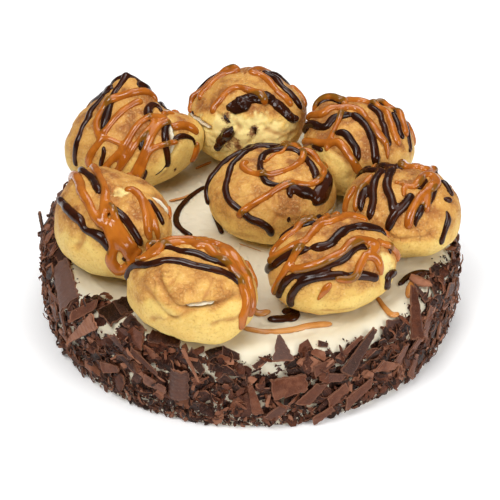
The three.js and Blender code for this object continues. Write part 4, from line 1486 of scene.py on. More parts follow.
@dataclass
class PipingBag:
    """Lays strands of sauce and melts them into one piece.

    A bead's height is a share of its width; it sinks by a share of its half width, and spreads
    flat where it is wider than the tallest one. Melting swells the beads by web, joins those
    that touch and draws them in again.
    """

    tree: PipingTree
    height: float = 0.9
    voxel: float = 0.43
    step: float = 0.8
    sink: float = 0.14
    web: float = 0.2
    plump: float = 1.05
    tallest: float = 2.8
    sides: int = 12
    per_span: int = 14
    narrowest: float = 0.4
    softening: tuple[int, int] = (3, 11)

    def width_along(self, points: Array, half_width: Array | float, seed: int) -> Array:
        """Gives a strand its uneven width, with round or drawn-out ends.

        Args:
            points: where it runs.
            half_width: its usual half width.
            seed: picks its unevenness.

        Returns:
            The half width at each point.
        """
        run = run_along(points)
        noise = Relief(500)
        place = np.stack([run, np.full_like(run, 7.3 * seed), np.full_like(run, 1.7 * seed)], 1)
        width = half_width * self.plump * (1 + 0.17 * noise.at(place, 11.0)
                                           + 0.08 * noise.at(place, 4.0))
        for number, near in enumerate((run, run[-1] - run)):
            drawn = 1.1 + 1.5 * ((seed * 0.37 + number * 0.53) % 1.0)
            share = np.clip((near + 0.3) / (half_width * drawn), 0, 1)
            width = width * np.sqrt(1 - (1 - share) ** 2)
        return np.maximum(width, self.narrowest)

    def settle(self, half: Array) -> Array:
        """Returns how far a bead's middle stands off what it lies on; wide beads spread flat."""
        spread = np.maximum(half - self.tallest, 0)
        return (0.12 - self.sink) * half - 0.78 * self.height * spread

    def melt(self, name: str, beads: Sequence[Bead], finish: Material) -> Piece:
        """Sweeps the beads and melts them together.

        Args:
            name: the piece's name.
            beads: the laid-out strands.
            finish: the sauce's material.

        Returns:
            The melted piece, a plain mesh.
        """
        points = np.concatenate([bead.points for bead in beads])
        ups = np.concatenate([bead.up for bead in beads])
        halves = np.concatenate([bead.half for bead in beads])
        edges, start = [], 0
        for bead in beads:
            edges += [(start + i, start + i + 1) for i in range(len(bead.points) - 1)]
            start += len(bead.points)
        mesh = bpy.data.meshes.new(name)
        mesh.from_pydata((points * MM).tolist(), edges, [])
        mesh.attributes.new("up", "FLOAT_VECTOR", "POINT").data.foreach_set("vector", ups.ravel())
        mesh.attributes.new("half", "FLOAT", "POINT").data.foreach_set("value", halves * MM)
        piece = bpy.data.objects.new(name, mesh)
        bpy.context.scene.collection.objects.link(piece)
        self.tree.use(piece, Height=self.height, Sides=self.sides, Finish=finish)
        for swell, rounds in zip((self.web, -self.web), self.softening):
            puff = piece.modifiers.new("Swell", "DISPLACE")
            puff.direction, puff.mid_level, puff.strength = "NORMAL", 0.0, swell * MM
            remesh = piece.modifiers.new("Melt", "REMESH")
            remesh.mode, remesh.voxel_size = "VOXEL", self.voxel * MM
            soften = piece.modifiers.new("Soften", "SMOOTH")
            soften.factor, soften.iterations = 0.5, rounds
        baked(piece)
        piece.data.materials.clear()
        piece.data.materials.append(finish)
        piece.data.shade_smooth()
        return piece


@dataclass
class Drizzle:
    """The two sauces over one bun, which index tells apart from the others."""

    bun: Bun
    index: int
    bag: PipingBag

    def back_strands(self) -> list[Strand]:
        """Returns the strands that run down the side of the bun that faces away."""
        series = LoopDraw(7 + self.index)
        series.between(0, 1)
        strands = []
        for i in range(2):
            azimuth = 125 - 62 * i + series.between(-12, 12)
            sway = series.between(-14, 14)
            foot = series.between(0, 16)
            stops = ((azimuth - sway, self.brow(azimuth - sway) + 6), (azimuth, 26),
                     (azimuth + sway, foot))
            strands.append(Strand(Sauce.CARAMEL if i % 2 else Sauce.CHOCOLATE, 2.1, stops))
        for i in range(5):
            azimuth = 25 + 28 * i + series.between(-9, 9)
            sway = series.between(-16, 16)
            foot = series.between(-6, 6)
            stops = ((azimuth - sway, self.brow(azimuth)), (azimuth, 18), (azimuth + sway, foot))
            sauce = Sauce.CHOCOLATE if i % 2 else Sauce.CARAMEL
            strands.append(Strand(sauce, series.between(1.6, 2.2), stops))
        return strands

    @staticmethod
    def brow(azimuth: float) -> float:
        """Returns the elevation where the bun's back begins at an azimuth."""
        return 38 * math.sin(math.radians(azimuth))

    def over_the_brow(self, strand: Strand, series: LoopDraw) -> Strand:
        """Lets a strand that ends on top of the bun's back run on down it.

        Args:
            strand: a strand over the front or the top.
            series: draws where it runs.

        Returns:
            The strand, longer where it has such an end.
        """
        stops = list(strand.stops)
        for _ in range(2):
            stops.reverse()
            azimuth, elevation = stops[-1][:2]
            if 30 < azimuth < 150 and elevation > 40 and not strand.ragged:
                sway, foot = series.between(-12, 12), series.between(0, 20)
                stops[-1] = (azimuth, elevation)
                stops += [(azimuth + 0.4 * sway, 34), (azimuth + sway, foot)]
        return Strand(strand.sauce, strand.half_width, tuple(stops), strand.ragged)

    def lay(self, strand: Strand, seed: int, below: Sequence[Bead], ease: float) -> Bead:
        """Lays one strand on the crust, raised where it crosses others.

        Args:
            strand: what to lay.
            seed: picks its unevenness.
            below: the beads that are already there.
            ease: how much of a crossed bead's height it climbs.

        Returns:
            The laid-out bead.
        """
        stops = unit(*np.array([stop[:2] for stop in strand.stops], float).T)
        wide = [stop[2] if len(stop) > 2 else strand.half_width for stop in strand.stops]
        line = flowing(np.column_stack([stops, 0.01 * np.array(wide)]), self.bag.per_span)
        skin = self.bun.skin(normed(line[:, :3]))
        path = evenly(np.column_stack([skin, 100 * line[:, 3]]), self.bag.step)
        ways = normed((path[:, :3] - self.bun.centre) @ self.bun.tilt)
        half = self.bag.width_along(path[:, :3], path[:, 3], seed)
        path, up = self.bun.skin(ways), self.up(ways)
        lift = self.bag.settle(half)
        if below and ease:
            others = np.concatenate([bead.points for bead in below])
            widths = np.concatenate([bead.half for bead in below])
            gaps = np.linalg.norm(path[:, None] - others[None], axis=2)
            cover = smooth(1.0, 0.25, (gaps / (widths[None] + strand.half_width * 0.7)))
            tops = np.minimum(widths, self.bag.tallest) * self.bag.height
            climb = (cover * tops[None]).max(axis=1)
            kernel = np.hanning(7) / np.hanning(7).sum()
            lift = lift + ease * np.convolve(np.pad(climb, 3, "edge"), kernel, "valid")
        return Bead(path + up * lift[:, None], up, half)

    def up(self, ways: Array) -> Array:
        """Returns the crust's outward direction in the cake's frame."""
        side = normed(np.cross(ways, [0, 0, 1.0]))
        over = np.cross(side, ways)
        small = 0.02
        there = [self.bun.skin(normed(ways + small * step)) for step in (side, over)]
        here = self.bun.skin(ways)
        out = np.cross(there[0] - here, there[1] - here)
        aims = ways @ self.bun.tilt.T
        out *= np.sign((out * aims).sum(axis=1, keepdims=True))
        return normed(out)

    def build(self, larder: Larder) -> None:
        """Makes the chocolate and the caramel of this bun.

        Args:
            larder: the finishes.
        """
        series = LoopDraw(70 + self.index)
        strands = [self.over_the_brow(strand, series) for strand in self.bun.strands]
        strands += self.back_strands()
        laid: dict[Sauce, list[Bead]] = {}
        for sauce, finish, seed, ease in ((Sauce.CHOCOLATE, larder.chocolate, 0, 0.35),
                                          (Sauce.CARAMEL, larder.caramel, 40, 1.0)):
            own = [strand for strand in strands if strand.sauce is sauce]
            beads = laid.setdefault(sauce, [])
            for number, strand in enumerate(own):
                beads.append(self.lay(strand, seed + number, laid[Sauce.CHOCOLATE], ease))
            piece = self.bag.melt(f"bun_{self.bun.name}_{sauce.value}", beads, finish)
            points = corners(piece.data)
            ragged = [bead for bead, strand in zip(beads, own) if strand.ragged]
            if ragged:
                noise = Relief(66)
                lumps = 1.2 * noise.drift(points, 4.2, 9) + 0.3 * noise.drift(points, 2.0, 9)
                points += nearness(points, ragged)[:, None] * lumps
            points[:, 2] = np.maximum(points[:, 2], CAKE_HEIGHT - 0.4)
            set_corners(piece.data, points)
            over = np.zeros(len(points))
            if sauce is Sauce.CARAMEL:
                over = nearness(points, laid[Sauce.CHOCOLATE])
            mark(piece, {"over": over})
            dress(piece, "choux_crust", f"bun_{self.bun.name}")


def nearness(points: Array, beads: Sequence[Bead]) -> Array:
    """Tells where points lie over beads of another sauce.

    Args:
        points: places in millimetres.
        beads: the beads below.

    Returns:
        1 right over a bead and 0 away from it.
    """
    spots, ups, halves = (np.concatenate([getattr(bead, part) for bead in beads])
                          for part in ("points", "up", "half"))
    tree = search_tree(spots)
    found = np.array([tree.find(point)[1] for point in points])
    gap = points - spots[found]
    rise = (gap * ups[found]).sum(axis=1)
    aside = np.sqrt(np.maximum((gap ** 2).sum(axis=1) - rise ** 2, 0))
    return smooth(1.15, 0.55, aside / (halves[found] + 0.2)) * smooth(6.0, 4.0, rise)


# ------------------------------------------------------------------ the cream cake
@dataclass
class CreamCake:
    """The round of cream that carries everything.

    RIM is how far the chocolate climbs the profile, by azimuth. BARE lists the bare places:
    azimuth, way up the profile, half width in degrees and half height.
    """

    sides: int = 420
    top_rows: int = 96
    shoulder_rows: int = 14
    wall_rows: int = 44

    RIM = ((20, 45), (60, 48), (100, 44), (140, 47), (179, 49), (192, 47), (201, 52), (212, 46),
           (216, 44), (222, 53), (228, 57), (237, 48), (243, 44), (249, 46), (256, 41),
           (262, 43), (271, 39), (276, 45), (282, 43), (297, 42), (305, 39), (317, 44),
           (326, 48), (336, 48), (350, 42))
    RIPPLES = ((1.6, 6.0), (1.0, 2.6))
    DENTS = ((1.1, 22.0), (0.5, 8.0))
    BARE = ((262, 31, 4, 3.5), (268, 34, 5, 3), (257, 35, 3, 3.5), (274, 35, 4, 3),
            (287, 39, 3, 2), (292, 26, 2.5, 3), (303, 29, 3, 3), (311, 33, 3, 2.5),
            (319, 39, 2.5, 4), (329, 44, 3, 3), (335, 36, 2, 3), (303, 12, 4, 2))

    def limit(self, azimuths: Array) -> Array:
        """Returns how far the chocolate climbs the profile, round the cake."""
        noise = Relief(77)
        ring = 100 * unit(azimuths, 0.0)
        angles, runs = np.array(self.RIM, float).T
        return np.interp(azimuths, angles, runs, period=360) + noise.waves(ring, *self.RIPPLES)

    def bare(self, points: Array) -> Array:
        """Returns 1 where the cream shows between the shavings, and 0 elsewhere."""
        noise = Relief(43)
        around, run = azimuth_of(points), run_of(points)
        ragged = 0.5 * noise.at(points, 3.0)
        gap = smooth(0.22, 0.3, noise.at(points, 6.0)) * smooth(4, 14, run)
        for angle, middle, wide, high in self.BARE:
            cover = 1 - ((around - angle) / wide) ** 2 - ((run - middle) / high) ** 2
            gap = np.maximum(gap, smooth(0.0, 0.3, cover + ragged))
        return gap

    def build(self, finish: Material, crusts: Sequence[Piece]) -> None:
        """Makes the cream.

        Args:
            finish: its material.
            crusts: the buns that it rises against.
        """
        noise = Relief(31)
        azimuths = np.arange(self.sides) * 360.0 / self.sides
        circle = unit(azimuths, 0.0)
        flat_radius = CAKE_RADIUS - SHOULDER
        radii = flat_radius * (np.arange(1, self.top_rows + 1) / self.top_rows) ** 0.8
        rows = [np.concatenate([circle[:, :2] * radius, np.full((self.sides, 1), CAKE_HEIGHT)], 1)
                for radius in radii]
        top = np.concatenate([[[0, 0, CAKE_HEIGHT]], *rows])
        top[:, 2] += self.knife_marks(top, noise)
        top[:, 2] = self.against_buns(top, crusts)
        rim = top[-self.sides:, 2]
        uneven = noise.waves(circle * 60, *self.DENTS)
        sides = []
        for turn in np.radians(np.linspace(0, 90, self.shoulder_rows + 1)[1:]):
            share = turn / (math.pi / 2)
            radius = flat_radius + (SHOULDER + uneven * share) * math.sin(turn)
            height = CAKE_HEIGHT - SHOULDER + SHOULDER * math.cos(turn)
            height = height + (rim - CAKE_HEIGHT) * (1 - share) ** 2
            sides.append(np.stack([circle[:, 0] * radius, circle[:, 1] * radius, height], 1))
        for height in np.linspace(CAKE_HEIGHT - SHOULDER, 0, self.wall_rows + 1)[1:]:
            place = circle * CAKE_RADIUS + (0, 0, height)
            radius = CAKE_RADIUS + uneven * height / 36 + 0.35 * noise.at(place, 4.0)
            radius = radius - (1.2 * (1 - height / 4) ** 2 if height < 4 else 0.0)
            sides.append(np.stack([circle[:, 0] * radius, circle[:, 1] * radius,
                                   np.full(self.sides, height)], 1))
        points = np.concatenate([top, *sides, [[0, 0, 0]]])
        rings = self.top_rows + self.shoulder_rows + self.wall_rows
        around, run = azimuth_of(points), run_of(points)
        dusted = smooth(self.limit(around) + 1.0, self.limit(around) - 3, run)
        dusted = dusted * (1 - self.bare(points)) * (0.98 - 0.5 * smooth(12, 3, run))
        piece = spawn("cream_cake", points, ball_faces(rings, self.sides), finish,
                      {"dusted": dusted})
        dress(piece, "cream", "cake_body")

    def knife_marks(self, top: Array, noise: Relief) -> Array:
        """Returns the low relief that the spatula left on the top."""
        out = np.hypot(top[:, 0], top[:, 1])
        flat = top * (1, 1, 0)
        marks = 0.55 * noise.at(flat, 26.0) + 0.28 * noise.at(flat, 9.0)
        sweep = np.sin(out / 1.9 + 2.2 * noise.at(flat + 50, 34.0))
        marks += 0.26 * sweep * smooth(-0.2, 0.4, noise.at(flat + 90, 24.0))
        ridge = np.exp(-((out - 88 + 3 * noise.at(flat, 20.0)) / 1.6) ** 2)
        marks += 0.35 * ridge * smooth(-0.1, 0.4, noise.at(flat + 20, 24.0))
        fine = 0.2 * noise.at(flat, 3.4) + 0.5 * smooth(0.3, 0.5, noise.at(flat + 300, 4.0))
        return (marks + fine - 0.25) * smooth(98, 88, out)

    def against_buns(self, top: Array, crusts: Sequence[Piece]) -> Array:
        """Lets the cream swell against the buns, and no further than their crust.

        Args:
            top: the places of the top.
            crusts: the buns.

        Returns:
            The height of each place.
        """
        trees = []
        for crust in crusts:
            points = corners(crust.data)
            faces = [tuple(face.vertices) for face in crust.data.polygons]
            trees.append((points[:, :2].min(axis=0), points[:, :2].max(axis=0),
                          BVHTree.FromPolygons(points.tolist(), faces)))
        ceiling = np.full(len(top), FAR)
        for low, high, tree in trees:
            near = np.where((top[:, :2] > low).all(axis=1) & (top[:, :2] < high).all(axis=1))[0]
            for i in near:
                hit = tree.ray_cast(Vector((top[i, 0], top[i, 1], 20.0)), Vector((0, 0, 1)))[0]
                if hit is not None:
                    ceiling[i] = min(ceiling[i], hit.z)
        under = ceiling < BUN_FLOOR + 0.1
        tree = search_tree(top[under] * (1, 1, 0))
        gaps = np.array([tree.find((x, y, 0))[2] for x, y, _ in top])
        height = top[:, 2] + 1.3 * np.exp(-(gaps / 2.2) ** 2)
        height = np.minimum(height, ceiling - 0.12)
        return np.where(under, BUN_FLOOR - 0.1, height)


@dataclass
class PooledSauce:
    """The sauce that ran down onto the cream."""

    bag: PipingBag
    chocolate: tuple = (
        (1.7, (-23, 36), (-31, 26), (-37, 12), (-37, 2), (-33, -5), (-29, -9)),
        (2.5, (15, -70), (21, -71.5), (20.5, -75), (8, -76.5)),
        (1.8, (72, -50), (77, -43), (83, -39.5), (90, -40)),
        (1.3, (-19, 12), (-16, 1), (-14, -7)),
        (0.8, (70, -23), (71, -31)),
    )
    caramel: tuple = (
        (1.9, (-4, -83), (7, -86), (20, -84.5), (28, -81.5), (39, -80)),
        (1.9, (82, -42), (79.5, -47), (77, -53), (76, -60)),
        (1.6, (61, -59), (65, -69), (68, -73.5), (71, -71.5)),
        (1.0, (-42, 22), (-33, 26), (-24, 35)),
        (1.0, (-29, 52), (-20, 59)),
        (0.6, (-6, -15), (6, -22)),
        (2.0, (0, -66), (4, -72), (10, -70)),
    )

    def build(self, larder: Larder) -> None:
        """Makes the pools of both sauces.

        Args:
            larder: the finishes.
        """
        for sauce, rows in ((Sauce.CHOCOLATE, self.chocolate), (Sauce.CARAMEL, self.caramel)):
            beads = []
            for number, (half_width, *stops) in enumerate(rows):
                spots = np.array([(x, y, CAKE_HEIGHT + 0.3) for x, y in stops])
                path = evenly(flowing(spots, self.bag.per_span), self.bag.step)
                half = self.bag.width_along(path, half_width, 70 + number)
                path[:, 2] += self.bag.settle(half)
                beads.append(Bead(path, np.tile([0, 0, 1.0], (len(path), 1)), half))
            finish = larder.chocolate if sauce is Sauce.CHOCOLATE else larder.thin_caramel
            piece = self.bag.melt(f"pooled_{sauce.value}", beads, finish)
            mark(piece, {"over": np.zeros(len(piece.data.vertices))})
            slot = "chocolate" if sauce is Sauce.CHOCOLATE else "choux_crust"
            dress(piece, slot, "cake_body")


# ------------------------------------------------------------------ chocolate pieces
@dataclass(frozen=True)
class Shaving:
    """A large shaving: size is length, width and thickness.

    It lies on the wall at an angle and height z or on the profile at an angle and a run, or
    it stands at a place of its own.
    """

    name: str
    size: tuple[float, float, float]
    spin: float
    bow: float
    taper: float
    shade: float
    angle: float = 0.0
    z: float = 0.0
    run: float | None = None
    out: float = 0.0
    tip: float = 0.0
    at: tuple[float, float, float] | None = None
    slope: float = 0.0
    face: float = 0.0
    bloom: float = 0.0
    skew: float = 0.0
    rows: int = 34
    columns: int = 18

    def sheet(self, across: Array, along: Array, side: float) -> Array:
        """Returns one face of the shaving, centred on the origin.

        Args:
            across: -0.5 to 0.5 over the width.
            along: -0.5 to 0.5 over the length.
            side: 1 for the outer face and -1 for the inner one.

        Returns:
            The places, in millimetres.
        """
        noise = Relief(sum(map(ord, self.name)) + 5)
        length, width, thick = self.size
        seed = np.stack([along * length, across * width, np.zeros_like(along)], axis=1)
        ends = 1 - 0.07 * smooth(0.25, 0.5, np.abs(along)) * (1 + 1.5 * noise.at(
            seed * (0, 1, 0) + 30 * np.sign(along)[:, None], 2.2))
        edges = 1 - 0.1 * smooth(0.15, 0.5, np.abs(across)) * (1 + 1.5 * noise.at(
            seed * (1, 0, 0) + 60 * np.sign(across)[:, None], 2.6))
        y = across * width * edges * (1 - self.taper * (along + 0.5))
        x = along * length * ends + self.skew * y
        wave = 0.12 * np.sin(x * 2.3 + 0.8 * noise.at(seed, 6.0)) + 0.3 * noise.at(seed, 5.0)
        body = 0.36 * thick * (1 - 0.3 * smooth(0.3, 0.5, np.abs(across)))
        z = side * body + wave * min(1.0, thick / 2)
        if self.bow:
            bend = math.radians(self.bow)
            radius = width / bend
            turn = y / radius
            y = (radius + z) * np.sin(turn)
            z = z * np.cos(turn) - radius * (1 - np.cos(turn))
        return np.stack([x, y, z], axis=1)

    def placed(self, points: Array) -> Array:
        """Takes the shaving's own places to where it lies on the cake."""
        points = points @ about((0, 0, 1), self.spin).T
        if self.at:
            return points @ tipping(self.slope, self.face).T + np.array(self.at)
        if self.run is not None:
            place, out, up = perch(self.angle, self.run)
            frame_axes = np.stack([np.cross(up, out), up, out])
            return points @ about((1, 0, 0), -self.tip).T @ frame_axes + place + out * self.out
        points = points @ about((1, 0, 0), 90 - self.tip).T
        points = points @ about((0, 0, 1), self.angle + 90).T
        reach = CAKE_RADIUS + self.out
        return points + np.append(unit(self.angle, 0.0)[:2] * reach, self.z)

    def footprint(self, points: Array) -> Array:
        """Returns 1 for places right under or over the shaving, and 0 beside it."""
        origin = self.placed(np.zeros((1, 3)))
        local = (points - origin) @ (self.placed(np.eye(3)) - origin).T
        half = np.array(self.size) / 2 + (0.5, 0.5, 6.0)
        return smooth(1.15, 0.9, (np.abs(local) / half).max(axis=1))

    def surface(self) -> tuple[Array, list, dict[str, Array], Array]:
        """Returns the shaving's places, faces, marks and the flat spots of its places."""
        along, across = np.meshgrid(np.linspace(-0.5, 0.5, self.rows),
                                    np.linspace(-0.5, 0.5, self.columns), indexing="ij")
        along, across = along.ravel(), across.ravel()
        outer, inner = (self.sheet(across, along, side) for side in (1.0, -1.0))
        count = self.rows * self.columns
        upper = grid_faces(self.rows, self.columns, False)
        faces = [*upper, *(tuple(i + count for i in face[::-1]) for face in upper)]
        border = [c for c in range(self.columns)]
        border += [r * self.columns + self.columns - 1 for r in range(1, self.rows)]
        border += [count - 1 - c for c in range(1, self.columns)]
        border += [r * self.columns for r in range(self.rows - 2, 0, -1)]
        faces += [(a, b, b + count, a + count) for a, b in zip(border, border[1:] + border[:1])]
        # The rim is marked as edge, where the finish paints a highlight.
        edge = np.maximum(smooth(0.47, 0.5, np.abs(along)), smooth(0.46, 0.5, np.abs(across)))
        marks = {"shade": np.full(2 * count, self.shade), "bloom": np.full(2 * count, self.bloom),
                 "edge": np.tile(edge, 2)}
        spots = np.tile(np.stack([across * self.size[1], along * self.size[0]], 1) / 12, (2, 1))
        points = self.placed(np.concatenate([outer, inner]))
        return points, [face[::-1] for face in faces], marks, spots


def cut_from(name: str, shavings: Sequence[Shaving], finish: Material, node: str) -> Piece:
    """Makes one piece of one or more shavings.

    Args:
        name: the piece's name.
        shavings: what it consists of.
        finish: the shavings' material.
        node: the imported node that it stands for.

    Returns:
        The finished piece.
    """
    points, faces, spots, start = [], [], [], 0
    marks: dict[str, list] = {"shade": [], "bloom": [], "edge": []}
    for shaving in shavings:
        places, around, own, flat = shaving.surface()
        faces += [tuple(start + i for i in face) for face in around]
        start += len(places)
        points.append(places)
        spots.append(flat)
        for key, values in own.items():
            marks[key].append(values)
    points = np.concatenate(points)
    points[:, 2] = np.maximum(points[:, 2], LOWEST)
    piece = spawn(name, points, faces, finish,
                  {key: np.concatenate(values) for key, values in marks.items()})
    map_cut(piece, np.concatenate(spots))
    return dress(piece, "chocolate", node)


SHAVINGS = (
    Shaving("strip_left_rim", (22, 3.2, 2), 70, 8, 0.4, 0.3, angle=176, z=41, out=3.4),
    Shaving("shard_left", (30, 9, 2), 230, 5, 0.75, 0.95, angle=220, z=31, out=3.0, tip=8),
    Shaving("curl_front", (19, 13, 2.2), 86, 150, 0.15, 0.35, angle=251.5, z=25, out=4.4,
            bloom=0.35),
    Shaving("plate_front", (18, 13, 2.2), 8, 20, 0.2, 0.6, angle=280, z=26.5, out=2.8, tip=4),
    Shaving("strip_front", (20, 6, 2), 102, 10, 0.6, 0.6, angle=271, z=20, out=2.8),
    Shaving("strip_right", (27, 8, 2.2), 42, 8, 0.6, 0.15, angle=299.5, z=37, out=2.2, tip=18,
            bloom=0.15),
    Shaving("leaf_right", (27, 10, 2), 62, 14, 0.6, 0.4, angle=320, z=41, out=0.5, tip=34),
    Shaving("block_right", (8, 6, 4), 20, 0, 0.1, 0.2, angle=342, z=31, out=3.4),
    Shaving("plate_left", (28, 16, 2.2), 96, 30, 0.3, 0.5, at=(-90.5, -44, 41.5), slope=50,
            face=207, bloom=0.75),
    Shaving("flake_left_rim", (18, 15, 1.8), 35, 8, 0.2, -0.1, at=(-63, -69.5, 45), slope=8,
            face=227),
    Shaving("flake_front_rim", (16, 7, 1.8), 337, 8, 0.4, 0.2, at=(-40, -91, 44), slope=26,
            face=247),
    Shaving("drop_front_rim", (9, 6, 3), 20, 10, 0.3, -0.1, at=(-16, -99, 42.5), slope=28,
            face=261),
    Shaving("flake_standing", (15, 12, 1.8), 99, 6, 0.88, 0.25, at=(14.5, -98, 44.6), slope=22,
            face=279, bloom=0.4),
)

# Azimuth, way up the profile, spin, length, width, taper, shade and how far out it lies.
LOOSE = (
    (194, 46, 12, 20, 6, 0.1, 0.15, 1.6), (220, 41, 51, 17, 6, 0.2, 0.6, 3.2),
    (255, 37, -62, 19, 2.2, 0.5, 0.9, 3.2), (256, 38, -50, 13, 6, 0.4, 0.0, 1.4),
    (265, 43, -18, 9, 5, 0.3, 0.1, 1.0), (264, 36, -13, 18, 4.5, 0.4, 0.1, 2.0),
    (265, 28, -40, 13, 7, 0.5, 0.1, 1.6), (262, 25, 12, 6, 3.5, 0.3, 0.1, 1.2),
    (297, 40, 26, 17, 3.2, 0.5, 0.5, 2.4), (290, 44, -24, 5, 3.6, 0.3, 0.2, 0.7),
    (312, 41, -15, 11, 6, 0.3, 0.25, 1.4), (313, 24, 60, 13, 7, 0.5, 0.6, 3.4),
    (319, 24, 40, 16, 7, 0.4, 0.6, 3.6), (308, 22, -27, 13, 7, 0.5, 0.7, 3.6),
    (289, 35, 20, 11, 7, 0.4, 0.45, 2.6), (292, 27, -14, 11, 6, 0.3, 0.4, 3.2),
    (293, 16, 37, 13, 7.5, 0.2, 0.6, 3.6), (299, 13, 30, 17, 8, 0.3, 0.55, 3.8),
    (289, 6, 34, 13, 6, 0.4, 0.6, 3.8), (286, 20, 46, 15, 8, 0.3, 0.5, 3.4),
    (326, 45, 70, 12, 3.4, 0.6, 0.1, 1.6), (331, 42, 76, 12, 3.6, 0.6, 0.1, 1.8),
    (228, 52, -30, 13, 7, 0.4, 0.05, 1.2), (236, 46, -14, 12, 8, 0.4, 0.05, 1.6),
    (211, 26, -73, 12, 4, 0.6, 0.6, 3.6), (235, 36, -40, 16, 4, 0.4, 0.3, 3.0),
    (242, 33, -34, 18, 3.6, 0.3, 0.35, 3.4), (238, 27, -38, 17, 4, 0.3, 0.2, 3.2),
    (273, 40, 36, 10, 3, 0.4, 0.2, 1.4), (231, 20, 20, 12, 7, 0.5, 0.6, 3.6),
    (245, 21, -18, 13, 7, 0.4, 0.7, 3.4), (277, 12, 48, 12, 7, 0.2, 0.45, 3.6),
    (324, 33, 62, 15, 7, 0.5, 0.55, 3.4), (337, 36, -24, 9, 8, 0.3, 0.2, 4.0),
    (318, 12, 60, 13, 6, 0.5, 0.65, 3.8), (249, 48, 14, 6, 2.2, 0.5, 0.1, 0.8),
)


def loose_flakes() -> tuple[Shaving, ...]:
    """Returns the loose flakes that show from a step away on the front of the cake."""
    series = LoopDraw(97)
    flakes = []
    for number, (angle, run, spin, length, width, taper, shade, out) in enumerate(LOOSE):
        flakes.append(Shaving(
            f"loose_{number}", (length, width, series.between(1.1, 1.5)), spin,
            series.between(2, 26), taper, shade, angle=angle, run=run, out=out,
            tip=series.between(-8, 8), skew=series.between(-0.7, 0.7), rows=16, columns=9,
            bloom=series.between(0.0, 0.25)))
    return tuple(flakes)


# ------------------------------------------------------------------ the dressing
class Cut(Enum):
    """The kinds of shaved chocolate in the dressing."""

    FLAKE = "flake"
    SLIVER = "sliver"
    CRUMB = "crumb"


class ScatterTree(NodeTool):
    """Presses loose chocolate onto the cake's side."""

    SEED_STEP = 17
    LAST_PICK = 63
    HALF_TURN = 3.14
    DARKENING = 1.8

    def __init__(self) -> None:
        """Builds the tree; its reach is in metres and the length of its cuts in millimetres."""
        super().__init__("Dressing", {
            "Cuts": "Collection", "Per Square Metre": "Float", "Smallest": "Float",
            "Largest": "Float", "Nearest": "Float", "Furthest": "Float", "Lean": "Float",
            "Seed": "Int"})
        weave, given, room = self.weave, self.given, self.stored("room")
        density = weave.sum("MULTIPLY", self.stored("crowd"), given["Per Square Metre"])
        spots = weave.add("GeometryNodeDistributePointsOnFaces", Mesh=given["Geometry"],
                          Density=density, Seed=given["Seed"])
        reach = self.draw(given["Nearest"], given["Furthest"], 1)
        push = weave.add("ShaderNodeVectorMath", {"operation": "SCALE"},
                         Vector=spots.outputs["Normal"], Scale=weave.sum("MULTIPLY", reach, room))
        moved = weave.add("GeometryNodeSetPosition", Geometry=spots, Offset=push)
        lean = weave.sum("MULTIPLY", given["Lean"], room)
        back = weave.sum("MULTIPLY", lean, -1.0)
        swing = weave.add("ShaderNodeCombineXYZ", X=self.draw(back, lean, 2),
                          Y=self.draw(back, lean, 3),
                          Z=self.draw(-self.HALF_TURN, self.HALF_TURN, 4))
        turn = weave.add("FunctionNodeEulerToRotation", Euler=swing)
        turn = weave.add("FunctionNodeRotateRotation", {"rotation_space": "LOCAL"},
                         Rotation=spots.outputs["Rotation"], Rotate_By=turn)
        cuts = weave.add("GeometryNodeCollectionInfo", Collection=given["Cuts"],
                         Separate_Children=True, Reset_Children=True)
        laid = weave.add("GeometryNodeInstanceOnPoints", Points=moved, Instance=cuts,
                         Pick_Instance=True, Rotation=turn,
                         Scale=self.draw(given["Smallest"], given["Largest"], 5))
        pick = weave.add("FunctionNodeRandomValue", {"data_type": "INT"}, Seed=given["Seed"])
        pick.inputs[4].default_value, pick.inputs[5].default_value = 0, self.LAST_PICK
        weave.feed(laid.inputs["Instance Index"], pick)
        shade = weave.sum("POWER", self.draw(0.0, 1.0, 6), self.DARKENING)
        laid = weave.add("GeometryNodeStoreNamedAttribute",
                         {"data_type": "FLOAT", "domain": "INSTANCE"},
                         Geometry=laid, Name="shade", Value=shade)
        self.end(laid)

    def draw(self, low: object, high: object, turn: int) -> Socket:
        """Adds a random number between two others, for each point.

        Args:
            low: a number or socket.
            high: a number or socket.
            turn: which of the tree's draws this is.

        Returns:
            The drawn number.
        """
        own = self.weave.sum("ADD", self.given["Seed"], float(turn) * self.SEED_STEP)
        node = self.weave.add("FunctionNodeRandomValue", {"data_type": "FLOAT"}, Seed=own)
        self.weave.feed(node.inputs[2], low)
        self.weave.feed(node.inputs[3], high)
        return node.outputs[1]


@dataclass(frozen=True)
class Layer:
    """One layer of the dressing: pieces on a full wall, their sizes and reach in millimetres.

    At the base the layer holds only the share at_base of its pieces.
    """

    name: str
    cut: Cut
    count: int
    sizes: tuple[float, float]
    reach: tuple[float, float]
    lean: float
    at_base: float
    seed: int


